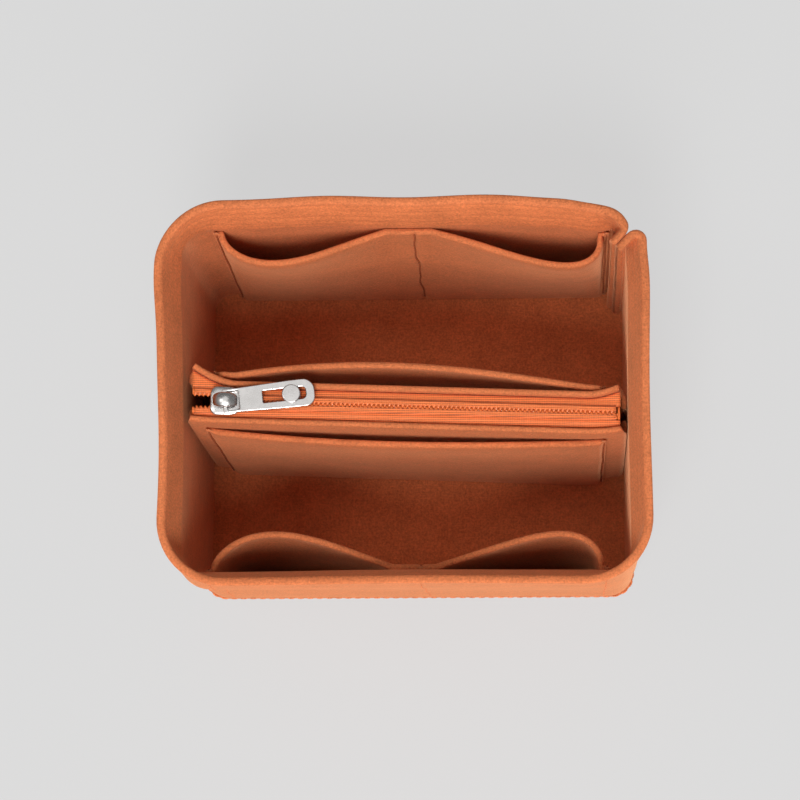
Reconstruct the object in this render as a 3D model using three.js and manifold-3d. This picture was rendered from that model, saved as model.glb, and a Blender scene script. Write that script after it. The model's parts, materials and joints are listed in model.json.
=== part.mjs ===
// Purse organizer insert: an open felt box with a flared rim, two pairs of wall pockets, and a
// zipped pouch across its middle with a slip pocket on each face.
// Millimetres, +Z up, +Y to the back. The origin is under the centre of the rim, on the table.
import * as THREE from "three";
import { mergeVertices } from "three/addons/utils/BufferGeometryUtils.js";
import Module from "manifold-3d";

const wasm = await Module();
wasm.setup();

// Whole box
const rim_length = 167;
const rim_depth = 132;
const box_height = 120;
const flare_height = 13.8; // the rim band above the crease
const flare_side = 4.7; // how far the rim stands out past the crease, left and right
const flare_back = 4.3;
const flare_front = 3.6;
const lean_back = 2.2; // how far the back wall comes in from the crease down to the foot
const lean_front = 5.4;
const lean_side = 0.2;
const soft_crease = 3; // the crease is eased over this height, above and below

// Felt and thread
const wall_thickness = 3;
const base_thickness = 3;
const pocket_thickness = 2.2;
const panel_thickness = 2;
const sewn_gap = 0.15; // between two layers of felt that are sewn together
const thread_width = 0.6;
const thread_thickness = 0.3;
const thread_gap = 0.05;
const stitch_margin = 4; // how far a row of stitches keeps from the ends of its seam
const base_thread_level = 2; // the underside of the thread round the base

// Corners of the wall, measured to the middle of the felt
const front_corner_foot = 8;
const front_corner_crease = 9;
const front_corner_rim = 22.6;
const back_left_corner_foot = 8;
const back_left_corner_crease = 11;
const back_left_corner_rim = 21;
const back_right_corner_foot = 6;
const back_right_corner_rim = 15;

// The only seam of the wall, at the rear right corner, where both ends of the strip turn inwards
const seam_inset_x_rim = 7.2;
const seam_inset_y_rim = 13.1;
const seam_inset_x_foot = 4.2; // below the crease
const seam_inset_y_foot = 6.5;
const seam_allowance_rim = 6.5;
const seam_allowance_foot = 4.5;
const seam_fold_radius_rim = 2.6;
const seam_fold_radius_foot = 1.9;
const seam_lead_in = 0.8; // from the notch to where the back wall starts to turn in
const seam_approach_angle = Math.PI / 3; // how far the back wall has turned when it meets the seam
const seam_run_margin = 0.3; // the least straight run between the back corner and the seam's fold
const seam_thread_share = 0.75; // of the allowance, from the notch

// Steps of the rounded corners
const corner_steps = 8;
const fold_steps = 5;
const small_steps = 3;

// Pockets on the back wall
const back_pocket_drop = 2.2; // from the crease down to its top edge
const back_pocket_left_inset = 9.6; // from the inner face of the side wall
const back_pocket_right_inset = 6.1;
const back_pocket_margin = 2.7; // the flat end at each side, which holds a row of stitches
const back_pocket_divider = 2.5;
const back_pocket_left_flat = 9; // from the divider's stitches to the left pocket's bulge
const back_pocket_right_flat = 6;
const back_pocket_left_bulge = 10.2;
const back_pocket_right_bulge = 12;
const back_pocket_left_peak_share = 0.32; // of that pocket's width, from its outer end
const back_pocket_right_peak_share = 0.2;

// Pockets on the front wall
const front_pocket_drop = 6.2;
const front_pocket_left_inset = 7.6;
const front_pocket_right_inset = 7.1;
const front_pocket_margin = 2.6;
const front_pocket_divider = 4.5;
const front_pocket_left_flat = 9;
const front_pocket_right_flat = 5.5;
const front_pocket_left_bulge = 11.7;
const front_pocket_right_bulge = 11.3;
const front_pocket_left_peak_share = 0.34;
const front_pocket_right_peak_share = 0.25;

// Every pocket
const stitch_share = 0.35; // of a flat end, from its raw edge to its row of stitches
const pocket_foot_gap = 0.3; // over the base
const pocket_samples = 13; // steps along one pocket
const pocket_levels = 5;
const bulge_rise = 1.2; // how the bulge grows with height: 1 is a straight slope
const peak_step_power = 1.5; // closer steps near the steep end of a pocket
const slope_step = 0.5; // half the run over which a face's slope is measured

// Zipped pouch
const pouch_rise = 2.6; // of its upper edge over the crease
const pouch_centre_y = -4.2; // of its line where it crosses the middle of the box
const pouch_skew = THREE.MathUtils.degToRad(-2.2); // the pouch runs slightly forwards to the right
const pouch_back_half = 5.5; // from the line of the pouch to the inner face of its back panel
const pouch_front_half = 5.2;
const pouch_flange = 5.5; // the ends of the panels, turned into the pouch along the side walls
const flange_fold_radius = 1.6;
const flange_stitch_share = 0.76; // of the flange, from its fold
const back_flare_left = 8.5; // how far the back panel spreads where it meets the side walls
const back_flare_left_length = 18.5;
const back_flare_right = 4.2;
const back_flare_right_length = 13.5;
const front_draw_in_left = 0.6; // the front panel comes in a little at both ends
const front_draw_in_right = 1.6;
const front_draw_in_length = 14;
const flare_power = 1.6;
const panel_samples = 44;

// Slip pockets on the pouch
const pouch_back_pocket_drop = 2.8; // from the pouch's upper edge
const pouch_back_pocket_left_inset = 10.6;
const pouch_back_pocket_right_inset = 7.9;
const pouch_back_pocket_bulge = 5.9;
const pouch_back_pocket_peak_share = 0.45;
const pouch_front_pocket_drop = 10.8;
const pouch_front_pocket_left_inset = 7;
const pouch_front_pocket_right_inset = 7.6;
const pouch_front_pocket_bulge = 2.4;
const pouch_front_pocket_peak_share = 0.45;
const pouch_pocket_margin = 2.6;

// Zip, in its own frame: X along the chain, Y to the back, its centre line at Y = 0
const zip_offset = 0.3; // of the chain from the line of the pouch, to the back
const zip_left_inset = 3.1; // from the inner face of the side wall
const zip_right_inset = 2.6;
const tape_thickness = 0.5;
const tape_drop = 2.4; // from the pouch's upper edge to the underside of the tapes
const tape_leg = 6; // the part of the tape that is sewn down the inside of the panel
const tape_slot = 4.1; // between the two tapes
const tape_end_step = 3; // steps of the tape's outer edge
const tape_stitch_reach_share = 0.74; // of the pouch's half length
const coil_gap = 0.1; // over the tape
const coil_height = 1.4;
const coil_pitch = 1.5;
const coil_turn_width = 0.62;
const coil_root = 0.9; // from the centre line to the root of the turns
const coil_back = 2.2; // from the centre line to the back of the coil
const coil_reach = 0.45; // how far the turns reach past the centre line
const coil_end_gap = 1.1; // from the end of the tape to the end of the coil
const coil_spread = 2.5; // how far each row moves out where the zip is open
const coil_spread_in_slider = 1.85;
const tack_length = 0.7;
const tack_width = 2.2;

// Slider, measured from its own centre
const slider_from_end = 11.8; // its place along the zip, from the left end
const slider_length = 10.4;
const slider_front_half = 4.85; // half its width at the mouths, where the rows come apart
const slider_back_half = 4;
const slider_corner = 2.4; // radius of the plates' corners
const slider_taper_start = 1.5; // from the centre, where its sides start to draw in
const slider_plate = 0.9;
const slider_play = 0.25; // from the plates to the coil and to the tapes
const slider_lower_half = 4.05;
const slider_rail = 0.5; // thickness of the rails at the sides of the upper plate
const slider_rail_inset = 0.15; // from the edge of the upper plate
const slider_rail_drop = 1.35;
const post_length = 2.4;
const post_width = 1.4;
const post_from_front = 0.6;
const converge_start = 2.2; // from the slider's centre, where the rows have met

// Bridge over the pull's bar
const bridge_half_length = 4.2;
const bridge_rise = 2.55;
const bridge_thickness = 1.1;
const bridge_width = 4.4;
const bridge_bevel = 0.35;
const bridge_gap = 0.05;

// Pull tab, measured from the bar that it turns on
const tab_length = 30.5;
const tab_thickness = 1.2;
const tab_half_width = 4.65;
const tab_neck_half_width = 4.1;
const tab_neck_end = 5;
const tab_shoulder_end = 22;
const tab_end_radius = 3.6;
const tab_bar_half = 0.75;
const tab_eye_end = 4.9;
const tab_eye_width = 6.6;
const tab_slot_start = 12.9;
const tab_slot_end = 27.6;
const tab_slot_width = 4.2;
const slot_corner_share = 0.5; // of half the slot's width
const neck_corner = 0.7;
const tab_bar_height = 1.2; // of the bar's centre over the slider's upper plate
const tab_yaw = THREE.MathUtils.degToRad(8.3); // the tab lies turned a little to the back
const tab_shift = -0.5; // to the front, within its play round the bridge

// Round button that runs in the tab's slot
const button_at = 22.6;
const button_radius = 3.1;
const button_head = 0.7;
const button_shank_radius = 1.9;
const button_play = 0.12;
const button_edge = 0.2;
const button_sides = 28;

const felt_colour = 0xc06c43;
const tape_colour = 0xdd6c34;
const thread_colour = 0x8f4526;
const metal_colour = 0xc9c6c2;

const felt = { color: felt_colour, roughness: 0.95, metalness: 0 };
const tape_finish = { color: tape_colour, roughness: 0.75, metalness: 0 };
const coil_finish = { color: tape_colour, roughness: 0.45, metalness: 0 };
const thread_finish = { color: thread_colour, roughness: 0.8, metalness: 0 };
const metal_finish = { color: metal_colour, roughness: 0.22, metalness: 1 };

const box = new THREE.Group();
const zip = new THREE.Group();

// Adds one sub-part to a group.
function add(group, name, geometry, finish) {
  const mesh = new THREE.Mesh(geometry, new THREE.MeshStandardMaterial(finish));
  mesh.name = name;
  group.add(mesh);
  return mesh;
}

const v2 = (x, y) => new THREE.Vector2(x, y);
const v3 = (x, y, z) => new THREE.Vector3(x, y, z);
const mix = THREE.MathUtils.lerp;
const clamp01 = (x) => THREE.MathUtils.clamp(x, 0, 1);
const smooth = (x) => THREE.MathUtils.smoothstep(x, 0, 1);

// A path through corners, each with its own radius and number of steps; one without stays sharp.
function roundedPath(corners) {
  const path = [corners[0].at.clone()];
  for (let i = 1; i < corners.length - 1; i++) {
    const { at, radius, steps } = corners[i];
    if (!radius) {
      path.push(at.clone());
      continue;
    }
    const back = corners[i - 1].at.clone().sub(at).normalize();
    const on = corners[i + 1].at.clone().sub(at).normalize();
    const half = Math.acos(THREE.MathUtils.clamp(back.dot(on), -1, 1)) / 2;
    const middle = back.clone().add(on).normalize();
    const centre = at.clone().addScaledVector(middle, radius / Math.sin(half));
    const from = at.clone().addScaledVector(back, radius / Math.tan(half)).sub(centre);
    const to = at.clone().addScaledVector(on, radius / Math.tan(half)).sub(centre);
    const turn = Math.atan2(from.cross(to), from.dot(to));
    for (let k = 0; k <= steps; k++) {
      path.push(from.clone().rotateAround(v2(0, 0), (turn * k) / steps).add(centre));
    }
  }
  path.push(corners.at(-1).at.clone());
  return path;
}

// The path moved to its left by a distance, with mitred corners.
function offsetPath(path, distance) {
  return path.map((p, i) => {
    const before = path[Math.max(i - 1, 0)];
    const after = path[Math.min(i + 1, path.length - 1)];
    const a = i > 0 ? p.clone().sub(before).normalize() : after.clone().sub(p).normalize();
    const b = i < path.length - 1 ? after.clone().sub(p).normalize() : a.clone();
    const normal = v2(-a.y - b.y, a.x + b.x).normalize();
    const stretch = 1 / Math.sqrt((1 + a.dot(b)) / 2);
    return p.clone().addScaledVector(normal, distance * stretch);
  });
}

// The outline of a strip of felt whose middle follows a path.
function stripOutline(path, thickness) {
  const left = offsetPath(path, thickness / 2);
  const right = offsetPath(path, -thickness / 2);
  return [...right, ...left.reverse()];
}

// A closed solid through rings of points, one above the other, each with as many points.
function loft(rings) {
  const count = rings[0].length;
  const points = rings.flat();
  const index = [];
  for (let level = 0; level < rings.length - 1; level++) {
    for (let i = 0; i < count; i++) {
      const a = level * count + i;
      const b = level * count + ((i + 1) % count);
      index.push(a, b, b + count, a, b + count, a + count);
    }
  }
  const flat = (ring) => ring.map((p) => v2(p.x, p.y));
  for (const [a, b, c] of THREE.ShapeUtils.triangulateShape(flat(rings[0]), [])) {
    index.push(c, b, a);
  }
  const top = (rings.length - 1) * count;
  for (const [a, b, c] of THREE.ShapeUtils.triangulateShape(flat(rings.at(-1)), [])) {
    index.push(top + a, top + b, top + c);
  }
  const geometry = new THREE.BufferGeometry().setFromPoints(points);
  geometry.setIndex(index);
  return geometry;
}

// A strip of felt whose middle follows a path for each height.
function loftStrip(heights, pathAt, thickness) {
  const rings = heights.map((z) => stripOutline(pathAt(z), thickness).map((p) => v3(p.x, p.y, z)));
  const area = THREE.ShapeUtils.area(rings[0]);
  return loft(area > 0 ? rings : rings.map((ring) => [...ring].reverse()));
}

// A flat outline raised from one height to another.
function raise(outline, from, to, holes = []) {
  const shape = new THREE.Shape(outline);
  shape.holes = holes.map((hole) => new THREE.Path(hole));
  const geometry = new THREE.ExtrudeGeometry(shape, { depth: to - from, bevelEnabled: false });
  return geometry.translate(0, 0, from);
}

function toSolid(geometry) {
  const bare = geometry.clone();
  for (const name of Object.keys(bare.attributes)) {
    if (name !== "position") bare.deleteAttribute(name);
  }
  const merged = mergeVertices(bare);
  const mesh = new wasm.Mesh({
    numProp: 3,
    vertProperties: merged.attributes.position.array,
    triVerts: new Uint32Array(merged.index.array),
  });
  return new wasm.Manifold(mesh);
}

function toGeometry(solid) {
  const mesh = solid.getMesh();
  const geometry = new THREE.BufferGeometry();
  geometry.setAttribute("position", new THREE.BufferAttribute(mesh.vertProperties, mesh.numProp));
  geometry.setIndex(new THREE.BufferAttribute(mesh.triVerts, 1));
  return geometry;
}

const joined = (...pieces) => toGeometry(pieces.map(toSolid).reduce((all, next) => all.add(next)));

// A straight thread from one point to another, lying against a face with the given outward normal.
function threadBetween(from, to, outward) {
  const along = to.clone().sub(from).normalize();
  const across = along.clone().cross(outward).normalize().multiplyScalar(thread_width / 2);
  const low = outward.clone().multiplyScalar(thread_gap);
  const high = outward.clone().multiplyScalar(thread_gap + thread_thickness);
  const corners = (end) => [
    end.clone().sub(across).add(low),
    end.clone().add(across).add(low),
    end.clone().add(across).add(high),
    end.clone().sub(across).add(high),
  ];
  const geometry = new THREE.BufferGeometry().setFromPoints([...corners(from), ...corners(to)]);
  const sides = [0, 1, 5, 0, 5, 4, 1, 2, 6, 1, 6, 5, 2, 3, 7, 2, 7, 6, 3, 0, 4, 3, 4, 7];
  const caps = [0, 3, 2, 0, 2, 1, 4, 5, 6, 4, 6, 7];
  geometry.setIndex([...sides, ...caps]);
  return toSolid(geometry).volume() < 0 ? flipped(geometry) : geometry;
}

function flipped(geometry) {
  const index = [...geometry.index.array];
  for (let i = 0; i < index.length; i += 3) {
    [index[i + 1], index[i + 2]] = [index[i + 2], index[i + 1]];
  }
  geometry.setIndex(index);
  return geometry;
}

// Outline of the wall at each height
const crease_height = box_height - flare_height;
const shelf = base_thickness; // the height of the base's upper face, which the wall stands on

// The outer faces and corner radii of the wall at a height.
function wallAt(z) {
  const down = clamp01((crease_height - z) / (crease_height - shelf));
  const up = clamp01((z - crease_height) / flare_height);
  const cornerAt = (foot, crease, rim) => (up > 0 ? mix(crease, rim, up) : mix(crease, foot, down));
  return {
    side: rim_length / 2 - flare_side * (1 - up) - lean_side * down,
    back: rim_depth / 2 - flare_back * (1 - up) - lean_back * down,
    front: -rim_depth / 2 + flare_front * (1 - up) + lean_front * down,
    front_corner: cornerAt(front_corner_foot, front_corner_crease, front_corner_rim),
    back_left_corner: cornerAt(back_left_corner_foot, back_left_corner_crease, back_left_corner_rim),
    back_right_corner: mix(back_right_corner_foot, back_right_corner_rim, up),
    seam_inset_x: mix(seam_inset_x_foot, seam_inset_x_rim, up),
    seam_inset_y: mix(seam_inset_y_foot, seam_inset_y_rim, up),
    seam_allowance: mix(seam_allowance_foot, seam_allowance_rim, up),
    seam_fold_radius: mix(seam_fold_radius_foot, seam_fold_radius_rim, up),
  };
}

const half_wall = wall_thickness / 2;

// The middle of the wall's felt at a height, from one end of the strip round to the other.
function wallPath(z) {
  const w = wallAt(z);
  const side = w.side - half_wall;
  const back = w.back - half_wall;
  const front = w.front + half_wall;
  const outwards = v2(1, 1).normalize();
  const across = v2(1, -1).normalize().multiplyScalar((wall_thickness + sewn_gap) / 2);
  const notch = v2(w.side - w.seam_inset_x, w.back - w.seam_inset_y);
  const right_leg = notch.clone().add(across);
  const back_leg = notch.clone().sub(across);
  const right_turn = right_leg.clone().addScaledVector(outwards, (side - right_leg.x) / outwards.x);
  const back_turn = back_leg.clone().addScaledVector(outwards, seam_lead_in);
  const approach = (back - back_turn.y) / Math.tan(seam_approach_angle);
  const fold_angle = (Math.PI * 3) / 4 - seam_approach_angle;
  const run = (back - back_turn.y) / Math.sin(seam_approach_angle);
  const room = run - w.seam_fold_radius * Math.tan(fold_angle / 2) - seam_run_margin;
  const back_radius = Math.min(w.back_right_corner, room / Math.tan(seam_approach_angle / 2));
  return roundedPath([
    { at: right_leg.clone().addScaledVector(outwards, -w.seam_allowance) },
    { at: right_turn, radius: w.seam_fold_radius, steps: fold_steps },
    { at: v2(side, front), radius: w.front_corner, steps: corner_steps },
    { at: v2(-side, front), radius: w.front_corner, steps: corner_steps },
    { at: v2(-side, back), radius: w.back_left_corner, steps: corner_steps },
    { at: v2(back_turn.x - approach, back), radius: back_radius, steps: corner_steps },
    { at: back_turn, radius: w.seam_fold_radius, steps: fold_steps },
    { at: back_leg.clone().addScaledVector(outwards, -w.seam_allowance) },
  ]);
}

const wall_heights = [
  shelf,
  crease_height - soft_crease,
  crease_height,
  crease_height + soft_crease,
  box_height,
];
add(box, "outer_wall", loftStrip(wall_heights, wallPath, wall_thickness), felt);

// Base, under the foot of the wall
function baseOutline(grow) {
  const w = wallAt(shelf);
  const middle = v2(0, w.back + grow);
  return roundedPath([
    { at: middle },
    { at: v2(-w.side - grow, w.back + grow), radius: w.back_left_corner + grow, steps: corner_steps },
    { at: v2(-w.side - grow, w.front - grow), radius: w.front_corner + grow, steps: corner_steps },
    { at: v2(w.side + grow, w.front - grow), radius: w.front_corner + grow, steps: corner_steps },
    { at: v2(w.side + grow, w.back + grow), radius: w.back_right_corner + grow, steps: corner_steps },
    { at: middle },
  ]).slice(0, -1);
}
add(box, "base_panel", raise(baseOutline(0), 0, base_thickness - thread_gap), felt);

// The thread that joins the base to the wall, round the base's edge
const base_thread = raise(
  baseOutline(thread_gap + thread_thickness),
  base_thread_level,
  base_thread_level + thread_width,
  [baseOutline(thread_gap)],
);
add(box, "base_seam_thread", base_thread, thread_finish);

// The inner faces of the wall at a height
const wallInner = (z) => {
  const w = wallAt(z);
  return {
    side: w.side - wall_thickness,
    back: w.back - wall_thickness,
    front: w.front + wall_thickness,
  };
};

// What the inner faces of the wall and its crease place
const inner_side = wallInner(shelf).side;
const back_pocket_height = crease_height - back_pocket_drop;
const back_pocket_left = -inner_side + back_pocket_left_inset;
const back_pocket_right = inner_side - back_pocket_right_inset;
const front_pocket_height = crease_height - front_pocket_drop;
const front_pocket_left = -inner_side + front_pocket_left_inset;
const front_pocket_right = inner_side - front_pocket_right_inset;
const pouch_height = crease_height + pouch_rise;
const pouch_back_pocket_height = pouch_height - pouch_back_pocket_drop;
const pouch_back_pocket_left = -inner_side + pouch_back_pocket_left_inset;
const pouch_back_pocket_right = inner_side - pouch_back_pocket_right_inset;
const pouch_front_pocket_height = pouch_height - pouch_front_pocket_drop;
const pouch_front_pocket_left = -inner_side + pouch_front_pocket_left_inset;
const pouch_front_pocket_right = inner_side - pouch_front_pocket_right_inset;
const zip_left = -inner_side + zip_left_inset;
const zip_right = inner_side - zip_right_inset;
const tape_level = pouch_height - tape_drop;
const slider_at = zip_left + slider_from_end;

// Steps across one pocket, closer together at its steep end, which is the first unless mirrored.
function pocketSteps(mirrored) {
  const steps = [];
  for (let k = 1; k < pocket_samples; k++) {
    const share = Math.pow(k / pocket_samples, peak_step_power);
    steps.push(share);
  }
  return mirrored ? steps.map((s) => 1 - s).reverse() : steps;
}

// The height of a pocket's bulge over its width: nought at both ends and 1 at its peak.
function hump(share, peak_share) {
  return Math.sin(Math.PI * Math.pow(share, Math.log(0.5) / Math.log(peak_share)));
}

// How much longer a step square to a line is when it is measured along Y.
const slopeOf = (lineAt, x) => (lineAt(x + slope_step) - lineAt(x - slope_step)) / (2 * slope_step);
const alongside = (lineAt, distance) => (x) => lineAt(x) + distance * Math.hypot(1, slopeOf(lineAt, x));

// The middle of a pocket's felt at a height: flat ends on the face behind it, and a bulge in each bay.
function pocketPath(bays, ends, rise, faceAt, outward) {
  const along = [ends[0]];
  const bulges = [0];
  for (const bay of bays) {
    const width = bay.to - bay.from;
    along.push(bay.from);
    bulges.push(0);
    for (const share of pocketSteps(bay.mirrored)) {
      along.push(bay.from + width * share);
      bulges.push(bay.bulge * rise * hump(bay.mirrored ? 1 - share : share, bay.peak_share));
    }
    along.push(bay.to);
    bulges.push(0);
  }
  along.push(ends[1]);
  bulges.push(0);
  const flatAt = alongside(faceAt, outward * (sewn_gap + pocket_thickness / 2));
  return along.map((x, i) => v2(x, flatAt(x) + outward * bulges[i]));
}

function pocket(name, top, bays, ends, faceAt, outward) {
  const foot = shelf + pocket_foot_gap;
  const heights = [];
  for (let k = 0; k <= pocket_levels; k++) heights.push(mix(foot, top, k / pocket_levels));
  const pathAt = (z) => {
    const rise = Math.pow((z - foot) / (top - foot), bulge_rise);
    return pocketPath(bays, ends, rise, (x) => faceAt(x, z), outward);
  };
  add(box, name, loftStrip(heights, pathAt, pocket_thickness), felt);
}

// A row of stitches shows as one thread on each side of the layers that it joins.
function stitchRow(name, x, low, high, frontAt, backAt, outward) {
  const slopeAt = (faceAt) => slopeOf((at) => faceAt(at, low), x);
  const facing = (faceAt) => v3(-slopeAt(faceAt), 1, 0).normalize().multiplyScalar(outward);
  const rowOn = (faceAt) => [v3(x, faceAt(x, low), low), v3(x, faceAt(x, high), high)];
  add(box, name + "_thread", threadBetween(...rowOn(frontAt), facing(frontAt)), thread_finish);
  const behind = facing(backAt).negate();
  add(box, name + "_under_thread", threadBetween(...rowOn(backAt), behind), thread_finish);
}

// Back wall pockets
const backFace = (x, z) => wallInner(z).back;
const frontFace = (x, z) => wallInner(z).front;
const back_pocket_bays = [
  {
    from: back_pocket_left + back_pocket_margin,
    to: back_pocket_divider - back_pocket_left_flat,
    bulge: back_pocket_left_bulge,
    peak_share: back_pocket_left_peak_share,
    mirrored: false,
  },
  {
    from: back_pocket_divider + back_pocket_right_flat,
    to: back_pocket_right - back_pocket_margin,
    bulge: back_pocket_right_bulge,
    peak_share: back_pocket_right_peak_share,
    mirrored: true,
  },
];
const back_pocket_ends = [back_pocket_left, back_pocket_right];
pocket("back_pocket", back_pocket_height, back_pocket_bays, back_pocket_ends, backFace, -1);

// Front wall pockets
const front_pocket_bays = [
  {
    from: front_pocket_left + front_pocket_margin,
    to: front_pocket_divider - front_pocket_left_flat,
    bulge: front_pocket_left_bulge,
    peak_share: front_pocket_left_peak_share,
    mirrored: false,
  },
  {
    from: front_pocket_divider + front_pocket_right_flat,
    to: front_pocket_right - front_pocket_margin,
    bulge: front_pocket_right_bulge,
    peak_share: front_pocket_right_peak_share,
    mirrored: true,
  },
];
const front_pocket_ends = [front_pocket_left, front_pocket_right];
pocket("front_pocket", front_pocket_height, front_pocket_bays, front_pocket_ends, frontFace, 1);

// The rows of stitches of the wall pockets lie on each flat end, and on the divider.
const sewn_pocket = sewn_gap + pocket_thickness;
const outerBack = (x, z) => wallAt(z).back;
const outerFront = (x, z) => wallAt(z).front;
const stitch_foot = shelf + stitch_margin;
for (const [name, x] of [
  ["left", back_pocket_left + back_pocket_margin * stitch_share],
  ["centre", back_pocket_divider],
  ["right", back_pocket_right - back_pocket_margin * stitch_share],
]) {
  const low = stitch_foot;
  const high = back_pocket_height - thread_width;
  const face = (at, z) => backFace(at, z) - sewn_pocket;
  stitchRow("back_pocket_" + name, x, low, high, face, outerBack, -1);
}
for (const [name, x] of [
  ["left", front_pocket_left + front_pocket_margin * stitch_share],
  ["centre", front_pocket_divider],
  ["right", front_pocket_right - front_pocket_margin * stitch_share],
]) {
  const low = stitch_foot;
  const high = front_pocket_height - thread_width;
  const face = (at, z) => frontFace(at, z) + sewn_pocket;
  stitchRow("front_pocket_" + name, x, low, high, face, outerFront, 1);
}

// Pouch: its line crosses the box, and each panel follows it at its own distance.
const pouchLine = (x) => pouch_centre_y + x * Math.tan(pouch_skew);
const panel_end = inner_side - sewn_gap - panel_thickness / 2;

// How far the inner face of each panel stands from the line of the pouch.
function backPanelHalf(x) {
  const left = clamp01((-x - (inner_side - back_flare_left_length)) / back_flare_left_length);
  const right = clamp01((x - (inner_side - back_flare_right_length)) / back_flare_right_length);
  const spread = back_flare_left * Math.pow(left, flare_power);
  return pouch_back_half + spread + back_flare_right * Math.pow(right, flare_power);
}
function frontPanelHalf(x) {
  const near_end = clamp01((Math.abs(x) - (inner_side - front_draw_in_length)) / front_draw_in_length);
  const draw_in = x < 0 ? front_draw_in_left : front_draw_in_right;
  return pouch_front_half - draw_in * Math.pow(near_end, flare_power);
}
const backPanelMiddle = (x) => pouchLine(x) + backPanelHalf(x) + panel_thickness / 2;
const frontPanelMiddle = (x) => pouchLine(x) - frontPanelHalf(x) - panel_thickness / 2;
const backPanelInner = alongside(backPanelMiddle, -panel_thickness / 2);
const backPanelOuter = alongside(backPanelMiddle, panel_thickness / 2);
const frontPanelInner = alongside(frontPanelMiddle, panel_thickness / 2);
const frontPanelOuter = alongside(frontPanelMiddle, -panel_thickness / 2);

// The middle of a panel's felt, with its two ends turned into the pouch along the side walls.
function panelPath(middleAt, inward) {
  const fold = { radius: flange_fold_radius, steps: fold_steps };
  const reach = panel_end - flange_fold_radius * 2;
  const corners = [
    { at: v2(-panel_end, middleAt(-panel_end) + inward * pouch_flange) },
    { at: v2(-panel_end, middleAt(-panel_end)), ...fold },
  ];
  for (let k = 0; k <= panel_samples; k++) {
    const x = mix(-reach, reach, k / panel_samples);
    corners.push({ at: v2(x, middleAt(x)) });
  }
  corners.push({ at: v2(panel_end, middleAt(panel_end)), ...fold });
  corners.push({ at: v2(panel_end, middleAt(panel_end) + inward * pouch_flange) });
  return roundedPath(corners);
}

const pouch_foot = shelf + pocket_foot_gap;
const pouch_heights = [pouch_foot, pouch_height];
const back_panel_path = panelPath(backPanelMiddle, -1);
const front_panel_path = panelPath(frontPanelMiddle, 1);
add(box, "pouch_back_panel", loftStrip(pouch_heights, () => back_panel_path, panel_thickness), felt);
add(box, "pouch_front_panel", loftStrip(pouch_heights, () => front_panel_path, panel_thickness), felt);

// Slip pockets on the outer faces of the pouch
const pouch_back_bays = [
  {
    from: pouch_back_pocket_left + pouch_pocket_margin,
    to: pouch_back_pocket_right - pouch_pocket_margin,
    bulge: pouch_back_pocket_bulge,
    peak_share: pouch_back_pocket_peak_share,
    mirrored: false,
  },
];
const pouch_front_bays = [
  {
    from: pouch_front_pocket_left + pouch_pocket_margin,
    to: pouch_front_pocket_right - pouch_pocket_margin,
    bulge: pouch_front_pocket_bulge,
    peak_share: pouch_front_pocket_peak_share,
    mirrored: false,
  },
];
const pouch_back_ends = [pouch_back_pocket_left, pouch_back_pocket_right];
const pouch_front_ends = [pouch_front_pocket_left, pouch_front_pocket_right];
const pouch_back_top = pouch_back_pocket_height;
const pouch_front_top = pouch_front_pocket_height;
pocket("pouch_back_pocket", pouch_back_top, pouch_back_bays, pouch_back_ends, backPanelOuter, 1);
pocket("pouch_front_pocket", pouch_front_top, pouch_front_bays, pouch_front_ends, frontPanelOuter, -1);

// Their rows of stitches, at both ends of each
for (const [name, x] of [
  ["left", pouch_back_pocket_left + pouch_pocket_margin * stitch_share],
  ["right", pouch_back_pocket_right - pouch_pocket_margin * stitch_share],
]) {
  const high = tape_level - tape_leg - stitch_margin;
  const face = alongside(backPanelOuter, sewn_pocket);
  stitchRow("pouch_back_pocket_" + name, x, stitch_foot, high, face, backPanelInner, 1);
}
for (const [name, x] of [
  ["left", pouch_front_pocket_left + pouch_pocket_margin * stitch_share],
  ["right", pouch_front_pocket_right - pouch_pocket_margin * stitch_share],
]) {
  const high = pouch_front_pocket_height - thread_width;
  const face = alongside(frontPanelOuter, -sewn_pocket);
  stitchRow("pouch_front_pocket_" + name, x, stitch_foot, high, face, frontPanelInner, -1);
}

// The ends of the pouch are sewn through the side walls.
const flange_stitch_top = crease_height - stitch_margin;
for (const [side, sign] of [
  ["left", -1],
  ["right", 1],
]) {
  for (const [name, middleAt, inward] of [
    ["back", backPanelMiddle, -1],
    ["front", frontPanelMiddle, 1],
  ]) {
    const y = middleAt(sign * panel_end) + inward * pouch_flange * flange_stitch_share;
    const inner = sign * (panel_end - panel_thickness / 2);
    const inside = v3(-sign, 0, 0);
    const foot_side = wallAt(stitch_foot).side;
    const top_side = wallAt(flange_stitch_top).side;
    add(
      box,
      "pouch_" + name + "_" + side + "_end_thread",
      threadBetween(v3(inner, y, stitch_foot), v3(inner, y, flange_stitch_top), inside),
      thread_finish,
    );
    add(
      box,
      "pouch_" + name + "_" + side + "_end_under_thread",
      threadBetween(
        v3(sign * foot_side, y, stitch_foot),
        v3(sign * top_side, y, flange_stitch_top),
        inside.clone().negate(),
      ),
      thread_finish,
    );
  }
}

// The corner seam's thread, on the face of the right-hand allowance
function seamThreadPoint(z) {
  const w = wallAt(z);
  const along = v2(1, 1).normalize();
  const across = v2(1, -1).normalize();
  const at = v2(w.side - w.seam_inset_x, w.back - w.seam_inset_y)
    .addScaledVector(along, -w.seam_allowance * seam_thread_share)
    .addScaledVector(across, sewn_gap / 2 + wall_thickness);
  return v3(at.x, at.y, z);
}
const seam_face = v3(1, -1, 0).normalize();
add(
  box,
  "corner_seam_thread",
  threadBetween(seamThreadPoint(stitch_foot), seamThreadPoint(crease_height - stitch_margin), seam_face),
  thread_finish,
);

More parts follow.
